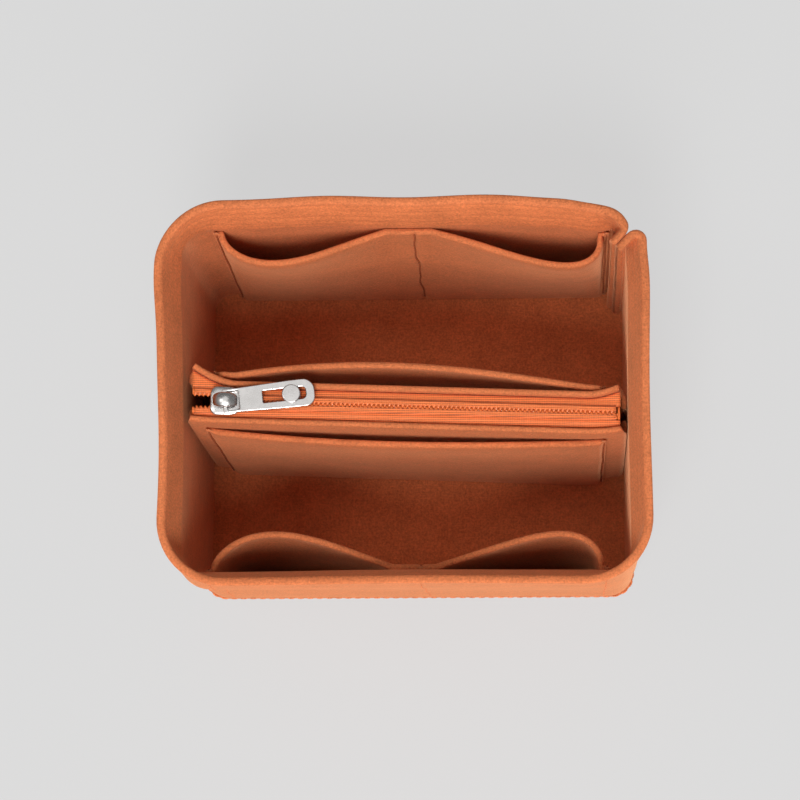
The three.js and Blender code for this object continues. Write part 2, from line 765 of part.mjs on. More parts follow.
// The zip's own frame lies along the pouch.
zip.position.set(-zip_offset * Math.sin(pouch_skew), pouch_centre_y + zip_offset * Math.cos(pouch_skew), 0);
zip.rotation.z = pouch_skew;
box.add(zip);
const fromZip = (x, y) => v2(x, y).rotateAround(v2(0, 0), pouch_skew).add(zip.position);

// Zip tapes: a flat part between the panels and a leg sewn down the inside of each panel
function tape(innerAt, sign) {
  const slot_left = fromZip(zip_left, (sign * tape_slot) / 2);
  const slot_right = fromZip(zip_right, (sign * tape_slot) / 2);
  const steps = Math.ceil((zip_right - zip_left) / tape_end_step);
  const edgeAt = alongside(innerAt, -sign * sewn_gap);
  const legAt = alongside(innerAt, -sign * (sewn_gap + tape_thickness / 2));
  const edge = [];
  const leg = [];
  for (let k = 0; k <= steps; k++) {
    const x = mix(slot_left.x, slot_right.x, k / steps);
    edge.push(v2(x, edgeAt(x)));
    leg.push(v2(x, legAt(x)));
  }
  const flat = [slot_left, slot_right, ...edge.reverse()];
  return joined(
    raise(flat, tape_level, tape_level + tape_thickness),
    raise(stripOutline(leg, tape_thickness), tape_level - tape_leg, tape_level + tape_thickness),
  );
}
add(box, "zip_tape_back", tape(backPanelInner, 1), tape_finish);
add(box, "zip_tape_front", tape(frontPanelInner, -1), tape_finish);

// The stitches that hold the tapes to the panels run along the outer faces of the panels.
const tape_stitch_level = tape_level - tape_leg / 2;
function tapeThread(outerAt, outward) {
  const reach = inner_side * tape_stitch_reach_share;
  const threadAt = alongside(outerAt, outward * (thread_gap + thread_thickness / 2));
  const path = [];
  for (let k = 0; k <= panel_samples; k++) {
    const x = mix(-reach, reach, k / panel_samples);
    path.push(v2(x, threadAt(x)));
  }
  return loftStrip([tape_stitch_level, tape_stitch_level + thread_width], () => path, thread_thickness);
}
add(box, "zip_back_seam_thread", tapeThread(backPanelOuter, 1), thread_finish);
add(box, "zip_front_seam_thread", tapeThread(frontPanelOuter, -1), thread_finish);

// How far each row of the coil has moved out from the closed chain at a place along the zip.
const slider_front = slider_at - slider_length / 2;
function coilSpread(x) {
  const in_slider = smooth((slider_at + converge_start - x) / (converge_start + slider_length / 2));
  const beyond = smooth((slider_front - x) / (slider_length / 4));
  return coil_spread_in_slider * in_slider + (coil_spread - coil_spread_in_slider) * beyond;
}

// One row of the coil: its turns side by side on their root
function coilRow(sign) {
  const first = zip_left + coil_end_gap + (sign > 0 ? 0 : coil_pitch / 2);
  const count = Math.floor((zip_right - coil_end_gap - first) / coil_pitch);
  const last = first + count * coil_pitch;
  const turns = [v2(first, coilSpread(first) + coil_root)];
  const root = [v2(last, coilSpread(last) + coil_back)];
  for (let k = 0; k < count; k++) {
    const left = first + k * coil_pitch + (coil_pitch - coil_turn_width) / 2;
    const right = left + coil_turn_width;
    const spread = coilSpread((left + right) / 2);
    turns.push(v2(left, coilSpread(left) + coil_root));
    turns.push(v2(left, spread - coil_reach));
    turns.push(v2(right, spread - coil_reach));
    turns.push(v2(right, coilSpread(right) + coil_root));
    const back = last - (k + 1) * coil_pitch;
    root.push(v2(back, coilSpread(back) + coil_back));
  }
  turns.push(v2(last, coilSpread(last) + coil_root));
  const outline = [...turns, ...root].map((p) => v2(p.x, sign * p.y));
  const low = tape_level + tape_thickness + coil_gap;
  return raise(outline, low, low + coil_height);
}
add(zip, "zip_coil_back", coilRow(1), coil_finish);
add(zip, "zip_coil_front", coilRow(-1), coil_finish);

// Thread tacks that end the zip: one on each row at the open end, one across both at the closed end
const tack_low = tape_level + tape_thickness + thread_gap;
const tack_high = tape_level + tape_thickness + coil_gap + coil_height;
function tack(x, from, to) {
  const end = x + tack_length;
  return raise([v2(x, from), v2(end, from), v2(end, to), v2(x, to)], tack_low, tack_high);
}
const tack_gap = (coil_end_gap - tack_length) / 2;
const tack_left = zip_left + tack_gap;
const tack_right = zip_right - coil_end_gap + tack_gap;
add(zip, "zip_tack_back", tack(tack_left, tape_slot / 2, tape_slot / 2 + tack_width), thread_finish);
add(zip, "zip_tack_front", tack(tack_left, -tape_slot / 2 - tack_width, -tape_slot / 2), thread_finish);
add(zip, "zip_tack_end", tack(tack_right, -tack_width, tack_width), thread_finish);

// Slider body: an upper and a lower plate joined by the post that parts the rows
const upper_low = tape_level + tape_thickness + coil_gap + coil_height + slider_play;
const upper_high = upper_low + slider_plate;
const lower_high = tape_level - slider_play;
const lower_low = lower_high - slider_plate;
function plateOutline(front_half, back_half) {
  const half = slider_length / 2;
  const start = v2(-half, 0);
  const rounding = { radius: slider_corner, steps: fold_steps };
  return roundedPath([
    { at: start },
    { at: v2(-half, -front_half), ...rounding },
    { at: v2(slider_taper_start, -front_half) },
    { at: v2(half, -back_half), ...rounding },
    { at: v2(half, back_half), ...rounding },
    { at: v2(slider_taper_start, front_half) },
    { at: v2(-half, front_half), ...rounding },
    { at: start },
  ]).slice(0, -1);
}
function block(x0, x1, y0, y1, z0, z1) {
  return raise([v2(x0, y0), v2(x1, y0), v2(x1, y1), v2(x0, y1)], z0, z1);
}
const post_start = -slider_length / 2 + post_from_front;
const post_half = post_width / 2;
const post_low = lower_high - slider_play;
const plate_join = upper_low + slider_play; // the post and the rails reach up into the upper plate
const rail_start = slider_corner - slider_length / 2;
const rail_outer = slider_front_half - slider_rail_inset;
const rail_inner = rail_outer - slider_rail;
const rail_low = upper_low - slider_rail_drop;
const slider_body = joined(
  raise(plateOutline(slider_front_half, slider_back_half), upper_low, upper_high),
  raise(plateOutline(slider_lower_half, slider_back_half), lower_low, lower_high),
  block(post_start, post_start + post_length, -post_half, post_half, post_low, plate_join),
  block(rail_start, slider_taper_start, rail_inner, rail_outer, rail_low, plate_join),
  block(rail_start, slider_taper_start, -rail_outer, -rail_inner, rail_low, plate_join),
);
slider_body.translate(slider_at, 0, 0);
add(zip, "slider_body", slider_body, metal_finish);

// Bridge: an arch along the slider, over the bar of the pull
function arch(half_length, rise) {
  const points = [];
  const steps = 14;
  for (let k = 0; k <= steps; k++) {
    const angle = (Math.PI * k) / steps;
    points.push(v2(half_length * Math.cos(angle), rise * Math.sin(angle)));
  }
  return points;
}
function bridge() {
  const foot = upper_high + bridge_gap;
  const bar_height = upper_high + tab_bar_height;
  const outer = arch(bridge_half_length - bridge_bevel, bridge_rise - bridge_bevel);
  const inner_rise = bridge_rise - bridge_thickness + bridge_bevel;
  const inner = arch(bridge_half_length - bridge_thickness + bridge_bevel, inner_rise);
  const leg = foot + bridge_bevel - bar_height;
  const outline = [
    v2(outer[0].x, leg),
    ...outer,
    v2(outer.at(-1).x, leg),
    v2(inner.at(-1).x, leg),
    ...inner.reverse(),
    v2(inner.at(-1).x, leg),
  ];
  const shape = new THREE.Shape(outline);
  const geometry = new THREE.ExtrudeGeometry(shape, {
    depth: bridge_width - 2 * bridge_bevel,
    bevelSize: bridge_bevel,
    bevelThickness: bridge_bevel,
    bevelSegments: 2,
  });
  geometry.translate(0, 0, bridge_bevel - bridge_width / 2);
  geometry.rotateX(Math.PI / 2);
  return geometry.translate(slider_at, 0, bar_height);
}
add(zip, "slider_bridge", bridge(), metal_finish);

// Pull tab: an eye round the bar end, a slot along its middle
const pull = new THREE.Group();
pull.position.set(slider_at, tab_shift, upper_high + tab_bar_height);
pull.rotation.z = tab_yaw;
zip.add(pull);

function tabOutline() {
  const start = v2(-tab_bar_half, 0);
  return roundedPath([
    { at: start },
    { at: v2(-tab_bar_half, -tab_neck_half_width), radius: neck_corner, steps: small_steps },
    { at: v2(tab_neck_end, -tab_neck_half_width) },
    { at: v2(tab_shoulder_end, -tab_half_width) },
    { at: v2(tab_length, -tab_half_width), radius: tab_end_radius, steps: corner_steps },
    { at: v2(tab_length, tab_half_width), radius: tab_end_radius, steps: corner_steps },
    { at: v2(tab_shoulder_end, tab_half_width) },
    { at: v2(tab_neck_end, tab_neck_half_width) },
    { at: v2(-tab_bar_half, tab_neck_half_width), radius: neck_corner, steps: small_steps },
    { at: start },
  ]).slice(0, -1);
}
function slotOutline(from, to, width, radius) {
  const start = v2(from, 0);
  return roundedPath([
    { at: start },
    { at: v2(from, -width / 2), radius, steps: corner_steps },
    { at: v2(to, -width / 2), radius, steps: corner_steps },
    { at: v2(to, width / 2), radius, steps: corner_steps },
    { at: v2(from, width / 2), radius, steps: corner_steps },
    { at: start },
  ]).slice(0, -1);
}
const pull_tab = raise(tabOutline(), -tab_thickness / 2, tab_thickness / 2, [
  slotOutline(tab_bar_half, tab_eye_end, tab_eye_width, neck_corner),
  slotOutline(tab_slot_start, tab_slot_end, tab_slot_width, (tab_slot_width / 2) * slot_corner_share),
]);
add(pull, "pull_tab", pull_tab, metal_finish);

// Button: two round heads on a shank that fits the slot
const head_low = tab_thickness / 2 + button_play;
const head_high = head_low + button_head;
const button_profile = [
  v2(0, -head_high),
  v2(button_radius - button_edge, -head_high),
  v2(button_radius, -head_high + button_edge),
  v2(button_radius, -head_low),
  v2(button_shank_radius, -head_low),
  v2(button_shank_radius, head_low),
  v2(button_radius, head_low),
  v2(button_radius, head_high - button_edge),
  v2(button_radius - button_edge, head_high),
  v2(0, head_high),
];
const button = new THREE.LatheGeometry(button_profile, button_sides).rotateX(Math.PI / 2);
button.translate(button_at, 0, 0);
add(pull, "pull_button", button, metal_finish);

export default box;
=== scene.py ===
import json
import math

import bpy
import numpy as np
from bpy.props import FloatProperty, FloatVectorProperty, PointerProperty
from mathutils import Matrix, Vector


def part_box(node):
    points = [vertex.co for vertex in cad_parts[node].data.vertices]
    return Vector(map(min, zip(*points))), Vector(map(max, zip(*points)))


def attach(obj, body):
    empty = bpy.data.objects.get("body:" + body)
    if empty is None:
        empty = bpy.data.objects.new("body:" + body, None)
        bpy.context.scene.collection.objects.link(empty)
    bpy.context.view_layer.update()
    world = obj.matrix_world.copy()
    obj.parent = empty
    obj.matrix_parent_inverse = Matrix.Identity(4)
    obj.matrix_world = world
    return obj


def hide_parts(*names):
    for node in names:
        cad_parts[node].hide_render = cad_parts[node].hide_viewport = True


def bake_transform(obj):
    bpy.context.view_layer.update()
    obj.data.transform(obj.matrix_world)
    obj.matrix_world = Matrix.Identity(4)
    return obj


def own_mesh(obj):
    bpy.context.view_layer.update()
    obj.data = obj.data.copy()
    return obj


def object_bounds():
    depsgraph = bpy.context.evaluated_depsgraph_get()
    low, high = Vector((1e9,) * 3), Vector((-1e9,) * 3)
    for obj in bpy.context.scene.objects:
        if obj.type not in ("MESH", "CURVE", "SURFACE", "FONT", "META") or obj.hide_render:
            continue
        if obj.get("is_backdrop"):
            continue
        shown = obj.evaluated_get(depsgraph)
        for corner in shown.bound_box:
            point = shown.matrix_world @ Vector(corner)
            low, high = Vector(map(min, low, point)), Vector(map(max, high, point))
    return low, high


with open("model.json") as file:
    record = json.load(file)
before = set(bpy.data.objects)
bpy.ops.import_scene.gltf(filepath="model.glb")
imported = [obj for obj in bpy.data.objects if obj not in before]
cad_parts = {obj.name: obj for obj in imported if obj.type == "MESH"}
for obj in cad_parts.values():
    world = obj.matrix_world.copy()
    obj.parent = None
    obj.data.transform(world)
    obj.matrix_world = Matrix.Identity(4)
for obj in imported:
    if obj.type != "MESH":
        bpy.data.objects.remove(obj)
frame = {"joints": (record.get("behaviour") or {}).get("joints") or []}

bl_info = {
    "name": "Felt Purse Organizer Insert",
    "version": (1, 0, 0),
    "blender": (4, 5, 0),
    "location": "View3D > Sidebar > Organizer",
    "description": "Felt box insert with wall pockets and a zipped pouch, dressed over its packed frame",
    "category": "Add Mesh",
}

CAD_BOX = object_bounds()
MM = 0.001  # the shapes below are worked out in millimetres, and meshes are made in metres
LEAST_SIDE = 0.01  # the least side of a tape's flat size, in metres

# Box, measured from the frame where it holds the size
WALL_LOW, WALL_HIGH = (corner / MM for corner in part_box("outer_wall"))
RIM_LENGTH = WALL_HIGH.x - WALL_LOW.x
RIM_DEPTH = WALL_HIGH.y - WALL_LOW.y
BOX_HEIGHT = WALL_HIGH.z
SHELF = WALL_LOW.z  # the upper face of the base, which the wall stands on
FLARE_HEIGHT = 13.8
CREASE = BOX_HEIGHT - FLARE_HEIGHT
FLARE_SIDE = 4.7
FLARE_BACK = 4.3
FLARE_FRONT = 3.6
LEAN_BACK = 2.2
LEAN_FRONT = 5.4
LEAN_SIDE = 0.2
PRESSED_LINES = (1.8, 4.9, 8.2, 11.6)  # how far over the crease the rim's lines lie

# Corners of the wall, measured to the middle of the felt
FRONT_CORNERS = (8, 9, 22.6)  # radius at the foot, the crease and the rim
BACK_LEFT_CORNERS = (8, 11, 21)
BACK_RIGHT_CORNERS = (6, 6, 15)
SEAM_INSET_X = (4.2, 4.2, 7.2)
SEAM_INSET_Y = (6.5, 6.5, 13.1)
SEAM_ALLOWANCE = (4.5, 4.5, 6.5)
SEAM_FOLD = (1.9, 1.9, 2.6)
SEAM_LEAD_IN = 0.8
SEAM_APPROACH = math.pi / 3
SEAM_MARGIN = 0.3
SEAM_OUTWARDS = np.array([1, 1]) / math.sqrt(2)
SEAM_ACROSS = np.array([1, -1]) / math.sqrt(2)

# Gaps that the sewn layers keep
SEWN_GAP = 0.15
THREAD_GAP = 0.05
POCKET_FOOT = SHELF + 0.3  # where the pockets and the pouch's panels begin, just over the base

CURL_DEPTH = 7  # how far below its upper edge a slip pocket bellies out most

# Rows of stitches
ROW_FOOT = 4  # how far over the base they begin
END_ROW_SHARE = 0.76  # where they lie on the pouch's turned ends
CORNER_ROW_SHARE = 0.75  # where they lie on the strip's ends at the rear right corner
ZIP_ROW_SHARE = 0.74  # how much of the box's half length they fill under the zip
BASE_ROW = 2.3  # the height of the row round the base
ROW_TOP = 0.6  # how far below a pocket's edge they end
ROW_UNDER_TAPE = 4  # how far below the zip's tape they end on the pouch's rear pocket
IN_GROOVE, ON_FACE, ON_PANEL = 0.1, -0.38, -0.5  # how far out from its face a row's line lies

# Zip
POUCH_CENTRE_Y = -4.2
POUCH_SKEW = math.radians(-2.2)
POUCH_BACK_HALF = 5.5
POUCH_FRONT_HALF = 5.2
POUCH_FLANGE = 5.5
FLANGE_FOLD = 1.6
FLANGE_CUT = 18  # how far below the panel's edge its turned ends stop
BACK_FLARE_LEFT, BACK_FLARE_LEFT_LENGTH = 8.5, 18.5
BACK_FLARE_RIGHT, BACK_FLARE_RIGHT_LENGTH = 4.2, 13.5
FRONT_DRAW_LEFT, FRONT_DRAW_RIGHT, FRONT_DRAW_LENGTH = 0.6, 1.6, 14
FLARE_POWER = 1.6
ZIP_OFFSET = 0.3
TAPE_LEVEL = CREASE + 0.2  # the underside of the tapes
TAPE_THICKNESS = 0.5
TAPE_LEG = 6
TAPE_SLOT = 4.1
TAPE_RIBS = ((1.1, 0.5, 0.22), (3.3, 0.45, 0.3))  # distance from the tape's free edge, width and rise
COIL_LOW = TAPE_LEVEL + TAPE_THICKNESS + 0.1
COIL_HEIGHT = 1.4
COIL_BACK = 2.2
COIL_REACH = 0.45
COIL_SPREAD = 1.95
COIL_SPREAD_IN_SLIDER = 1.85
SLIDER_LENGTH = 10.4
SLIDER_FRONT_HALF = 4.85
SLIDER_BACK_HALF = 4
SLIDER_LOWER_HALF = 4.05
SLIDER_CORNER = 2.4
SLIDER_TAPER_START = 1.5
SLIDER_PLATE = 0.9
SLIDER_SHOULDER = 0.6  # radius where the plate begins to taper
POST_SETBACK, POST_HALF_LENGTH, POST_HALF_WIDTH = 0.6, 1.2, 0.7
RAIL_SETBACK, RAIL_WIDTH, RAIL_DEPTH, RAIL_CORNER = 0.15, 0.5, 1.35, 0.2
BRIDGE_NARROWEST, BRIDGE_DOME = 0.62, 0.5  # a share of its width, and the fall of its sides
BRIDGE_RISE, BRIDGE_HALF_LENGTH, BRIDGE_THICKNESS, BRIDGE_WIDTH = 2.55, 4.2, 1.1, 5.1
UPPER_PLATE = COIL_LOW + COIL_HEIGHT + 0.25  # the underside of the slider's upper plate
LOWER_PLATE = TAPE_LEVEL - 0.25  # the upper side of its lower plate
BAR_LEVEL = UPPER_PLATE + SLIDER_PLATE + 1.2  # the axis that the pull turns on
TAB_YAW = math.radians(8.3)
TAB_SHIFT = -0.5
TAB_THICKNESS, TAB_EDGE = 1.2, 0.22
TAB_REAR, TAB_TIP = -0.75, 30.5  # its ends, from the bar
TAB_HALF, TAB_TIP_HALF = 4.1, 4.65
TAB_WIDENS = (5, 22)  # where it begins to widen, and where it is widest
TAB_EYE = (0.75, 4.9, 3.3, 0.7, 0.7)  # start, end, half width, and the radii of its corners at both
TAB_SLOT = (12.9, 27.6, 2.1, 0.35, 1.5)
BUTTON_AT, BUTTON_RADIUS, BUTTON_SHANK, BUTTON_EDGE = 22.6, 3.1, 1.9, 0.2
BUTTON_LOW, BUTTON_HIGH = 0.72, 1.42  # the lower and upper face of its head, from the tab's middle
TACK_THREADS, TACK_RADIUS, TACK_INSET = 4, 0.2, 0.15
SHARP_ANGLE = math.radians(50)


def length(name, description, default):
    kind = {"subtype": "DISTANCE", "unit": "LENGTH"}
    return FloatProperty(name=name, description=description, default=default, **kind)


def colour(name, description, *default):
    return FloatVectorProperty(name=name, description=description, default=default, size=3, subtype="COLOR")


def power(name, place, default):
    return FloatProperty(name=name, description=f"Power of the light {place}", default=default, unit="POWER")


class FeltSettings(bpy.types.PropertyGroup):
    """Sizes and colours of the felt."""

    wall_thickness: length("Wall Felt", "Thickness of the wall and the base", 0.003)
    pocket_thickness: length("Pocket Felt", "Thickness of the slip pockets", 0.0022)
    panel_thickness: length("Panel Felt", "Thickness of the pouch's panels", 0.002)
    edge_round: length("Edge Rounding", "Radius that wear gives the cut edges", 0.0012)
    rim_wave: length("Rim Wave", "How far the free rim strays from a straight line", 0.001)
    face: colour("Felt", "Colour of the pressed faces", 0.62, 0.176, 0.06)
    edge: colour("Cut Edge", "Colour of the cut edges", 0.60, 0.172, 0.062)
    fibre: length("Fibre", "Width of one clump of fibres", 0.0004)


class StitchSettings(bpy.types.PropertyGroup):
    """Sizes and colour of the stitching."""

    pitch: length("Stitch Pitch", "From one stitch to the next", 0.0035)
    length: length("Stitch Length", "The part of a stitch that shows", 0.0029)
    thread: length("Thread", "Diameter of the thread", 0.0006)
    # The thread's colour is darker than the felt's: painted shade for the grooves that the pocket rows lie in
    colour: colour("Thread Colour", "Colour of the thread", 0.36, 0.09, 0.03)


class ZipSettings(bpy.types.PropertyGroup):
    """Sizes and colours of the zip."""

    coil_pitch: length("Coil Pitch", "From one turn of a coil to the next", 0.0015)
    wire: length("Coil Wire", "Diameter of the nylon wire", 0.00062)
    coil_colour: colour("Coil", "Colour of the nylon coils", 0.76, 0.175, 0.04)
    tape_colour: colour("Tape", "Colour of the woven tapes", 0.74, 0.17, 0.038)
    metal_colour: colour("Metal", "Colour of the plated slider and pull", 0.56, 0.54, 0.525)


class StageSettings(bpy.types.PropertyGroup):
    """Camera, light and floor."""

    lens: FloatProperty(
        name="Lens", description="Focal length on a 36 mm sensor", default=145.8, unit="CAMERA"
    )
    floor_colour: colour("Floor", "Colour of the floor", 0.1, 0.1, 0.1)
    floor_size: length("Floor Size", "Side of the square floor", 6)
    front_power: power("Front Light", "at the front", 10.8)
    high_power: power("High Light", "high at the front", 11.5)
    side_power: power("Side Light", "at the left", 2.0)
    overhead_power: power("Overhead Panel", "panel overhead", 1.9)
    low_power: power("Low Light", "low at the front", 9)
    floor_glow: FloatProperty(
        name="Floor Glow", description="Light that the floor gives off, as a lit table does",
        default=0.595, min=0,
    )
    sky: FloatProperty(
        name="Surround", description="Strength of the light from all round", default=0.24, min=0
    )


def mm(length):
    return length / MM


def smooth(value, low=0.0, high=1.0):
    share = np.clip((value - low) / (high - low), 0, 1)
    return share * share * (3 - 2 * share)


def bell(value, centre, width):
    """1 at a centre, and nought well beyond a width from it."""
    return np.exp(-(((value - centre) / width) ** 2))


def unit(vector):
    return vector / np.linalg.norm(vector)


def points_of(*columns):
    """Points from their coordinates, where one number stands for all of them."""
    return np.stack(np.broadcast_arrays(*columns), axis=-1)


def round_turn(count):
    return np.linspace(0, 2 * math.pi, count, endpoint=False)


# Lines in plan

def rounded_path(corners, arc_steps, run_steps):
    """A line through corners (x, y, radius), with as many points whatever its sizes are."""
    places = [np.array(c[:2], float) for c in corners]
    anchors = [[places[0]]]
    for i in range(1, len(corners) - 1):
        radius = corners[i][2]
        back = unit(places[i - 1] - places[i])
        on = unit(places[i + 1] - places[i])
        half = math.acos(np.clip(back @ on, -1, 1)) / 2
        centre = places[i] + unit(back + on) * radius / math.sin(half)
        start = places[i] + back * radius / math.tan(half) - centre
        end = places[i] + on * radius / math.tan(half) - centre
        turn = math.atan2(start[0] * end[1] - start[1] * end[0], start @ end)
        arc = []
        for k in range(arc_steps[i - 1] + 1):
            c, s = math.cos(turn * k / arc_steps[i - 1]), math.sin(turn * k / arc_steps[i - 1])
            arc.append(centre + np.array([c * start[0] - s * start[1], s * start[0] + c * start[1]]))
        anchors.append(arc)
    anchors.append([places[-1]])
    path = []
    for (run, after), steps in zip(zip(anchors, anchors[1:]), run_steps):
        path += run
        path += [run[-1] + (after[0] - run[-1]) * k / steps for k in range(1, steps)]
    return np.array(path + anchors[-1])


def left_of(path):
    """For each point of a line, the step to its left that keeps an offset line at one distance."""
    steps = np.diff(path, axis=0)
    steps /= np.linalg.norm(steps, axis=1)[:, None]
    before = np.vstack([steps[:1], steps])
    after = np.vstack([steps, steps[-1:]])
    turned = before + after
    normal = np.column_stack([-turned[:, 1], turned[:, 0]])
    normal /= np.linalg.norm(normal, axis=1)[:, None]
    return normal / np.sqrt((1 + (before * after).sum(1)) / 2)[:, None]


def distances(path):
    return np.concatenate([[0], np.cumsum(np.linalg.norm(np.diff(path, axis=0), axis=1))])


def along(path, places):
    """Points of a line at given distances from its start."""
    at = distances(path)
    return np.column_stack([np.interp(places, at, path[:, k]) for k in range(path.shape[1])])


def by_height(values, z):
    """A size that has one value at the foot, one at the crease and one at the rim."""
    return np.interp(z, [SHELF, CREASE, BOX_HEIGHT], values)


def wall_faces(z):
    """The outer faces of the wall at a height: its side, back and front."""
    down = np.clip((CREASE - z) / (CREASE - SHELF), 0, 1)
    up = np.clip((z - CREASE) / FLARE_HEIGHT, 0, 1)
    side = RIM_LENGTH / 2 - FLARE_SIDE * (1 - up) - LEAN_SIDE * down
    back = RIM_DEPTH / 2 - FLARE_BACK * (1 - up) - LEAN_BACK * down
    front = -RIM_DEPTH / 2 + FLARE_FRONT * (1 - up) + LEAN_FRONT * down
    return side, back, front


def seam_notch(z):
    """Where the two ends of the strip meet at the rear right corner, at a height."""
    side, back, _ = wall_faces(z)
    return np.array([side - by_height(SEAM_INSET_X, z), back - by_height(SEAM_INSET_Y, z)])


def wall_path(z, thickness):
    """The middle of the wall's felt at a height, from one end of the strip round to the other."""
    notch = seam_notch(z)
    side, back, front = inner_faces(z, thickness / 2)
    outwards = SEAM_OUTWARDS
    across = SEAM_ACROSS * (thickness + SEWN_GAP) / 2
    right_leg = notch + across
    back_leg = notch - across
    right_turn = right_leg + outwards * (side - right_leg[0]) / outwards[0]
    back_turn = back_leg + outwards * SEAM_LEAD_IN
    approach = (back - back_turn[1]) / math.tan(SEAM_APPROACH)
    fold_angle = math.pi * 3 / 4 - SEAM_APPROACH
    run = (back - back_turn[1]) / math.sin(SEAM_APPROACH)
    seam_fold, allowance = by_height(SEAM_FOLD, z), by_height(SEAM_ALLOWANCE, z)
    room = run - seam_fold * math.tan(fold_angle / 2) - SEAM_MARGIN
    back_radius = min(by_height(BACK_RIGHT_CORNERS, z), room / math.tan(SEAM_APPROACH / 2))
    right_end = right_leg - outwards * allowance
    back_end = back_leg - outwards * allowance
    front_radius = by_height(FRONT_CORNERS, z)
    corners = [
        (*right_end, 0),
        (*right_turn, seam_fold),
        (side, front, front_radius),
        (-side, front, front_radius),
        (-side, back, by_height(BACK_LEFT_CORNERS, z)),
        (back_turn[0] - approach, back, back_radius),
        (*back_turn, seam_fold),
        (*back_end, 0),
    ]
    return rounded_path(corners, (8, 14, 14, 16, 10, 8), (4, 36, 52, 36, 52, 2, 4))


def base_outline():
    side, back, front = wall_faces(SHELF)
    corners = [
        (0, back, 0),
        (-side, back, BACK_LEFT_CORNERS[0]),
        (-side, front, FRONT_CORNERS[0]),
        (side, front, FRONT_CORNERS[0]),
        (side, back, BACK_RIGHT_CORNERS[0]),
        (0, back, 0),
    ]
    return rounded_path(corners, (12, 12, 12, 12), (30, 40, 60, 40, 30))[:-1]


def inner_faces(z, thickness):
    side, back, front = wall_faces(z)
    return side - thickness, back - thickness, front + thickness


# The pouch follows a slightly skew line across the box

SIDES = (("back", 1), ("front", -1))  # of the pouch, and the way that each looks along Y
WALL_FELT = 3
ROUNDEST = 0.92  # the most that a cut edge is rounded, of half its thickness
INNER_SIDE = inner_faces(SHELF, WALL_FELT)[0]
POUCH_HEIGHT = CREASE + 2.6


def pouch_line(x):
    return POUCH_CENTRE_Y + x * math.tan(POUCH_SKEW)


def back_panel_half(x):
    left = np.clip((-x - (INNER_SIDE - BACK_FLARE_LEFT_LENGTH)) / BACK_FLARE_LEFT_LENGTH, 0, 1)
    right = np.clip((x - (INNER_SIDE - BACK_FLARE_RIGHT_LENGTH)) / BACK_FLARE_RIGHT_LENGTH, 0, 1)
    return POUCH_BACK_HALF + BACK_FLARE_LEFT * left**FLARE_POWER + BACK_FLARE_RIGHT * right**FLARE_POWER


def front_panel_half(x):
    near_end = np.clip((abs(x) - (INNER_SIDE - FRONT_DRAW_LENGTH)) / FRONT_DRAW_LENGTH, 0, 1)
    draw_in = np.where(np.asarray(x) < 0, FRONT_DRAW_LEFT, FRONT_DRAW_RIGHT)
    return POUCH_FRONT_HALF - draw_in * near_end**FLARE_POWER


def beside(line, distance):
    """A line moved square to itself, as a function of x."""
    step = 0.5

    def moved(x):
        slope = (line(x + step) - line(x - step)) / (2 * step)
        return line(x) + distance * np.hypot(1, slope)

    return moved


def panel_lines(thickness):
    """The middle, inner face and outer face of the back panel, and then of the front one."""

    def back(x):
        return pouch_line(x) + back_panel_half(x) + thickness / 2

    def front(x):
        return pouch_line(x) - front_panel_half(x) - thickness / 2

    half = thickness / 2
    return {
        "back": (back, beside(back, -half), beside(back, half)),
        "front": (front, beside(front, half), beside(front, -half)),
    }


def panel_path(middle, inward, thickness):
    """The middle of a panel's felt, from the end of one flange to the end of the other."""
    end = INNER_SIDE - SEWN_GAP - thickness / 2
    reach = end - FLANGE_FOLD * 2
    halves = []
    for side in (-1, 1):
        fold = float(middle(side * end))
        corners = [
            (side * end, fold + inward * POUCH_FLANGE, 0),
            (side * end, fold, FLANGE_FOLD),
            (side * reach, float(middle(side * reach)), 0),
        ]
        halves.append(rounded_path(corners, (8,), (4, 2)))
    x = np.linspace(-reach, reach, 70)[1:-1]
    return np.vstack([halves[0], np.column_stack([x, middle(x)]), halves[1][::-1]])


def hump(share, peak_share):
    """A pocket's bulge over its width: nought at both ends and 1 at its peak."""
    return np.sin(math.pi * np.power(share, math.log(0.5) / math.log(peak_share)))


def back_face(x, z):
    return inner_faces(z, WALL_FELT)[1] + 0 * x


def front_face(x, z):
    return inner_faces(z, WALL_FELT)[2] + 0 * x


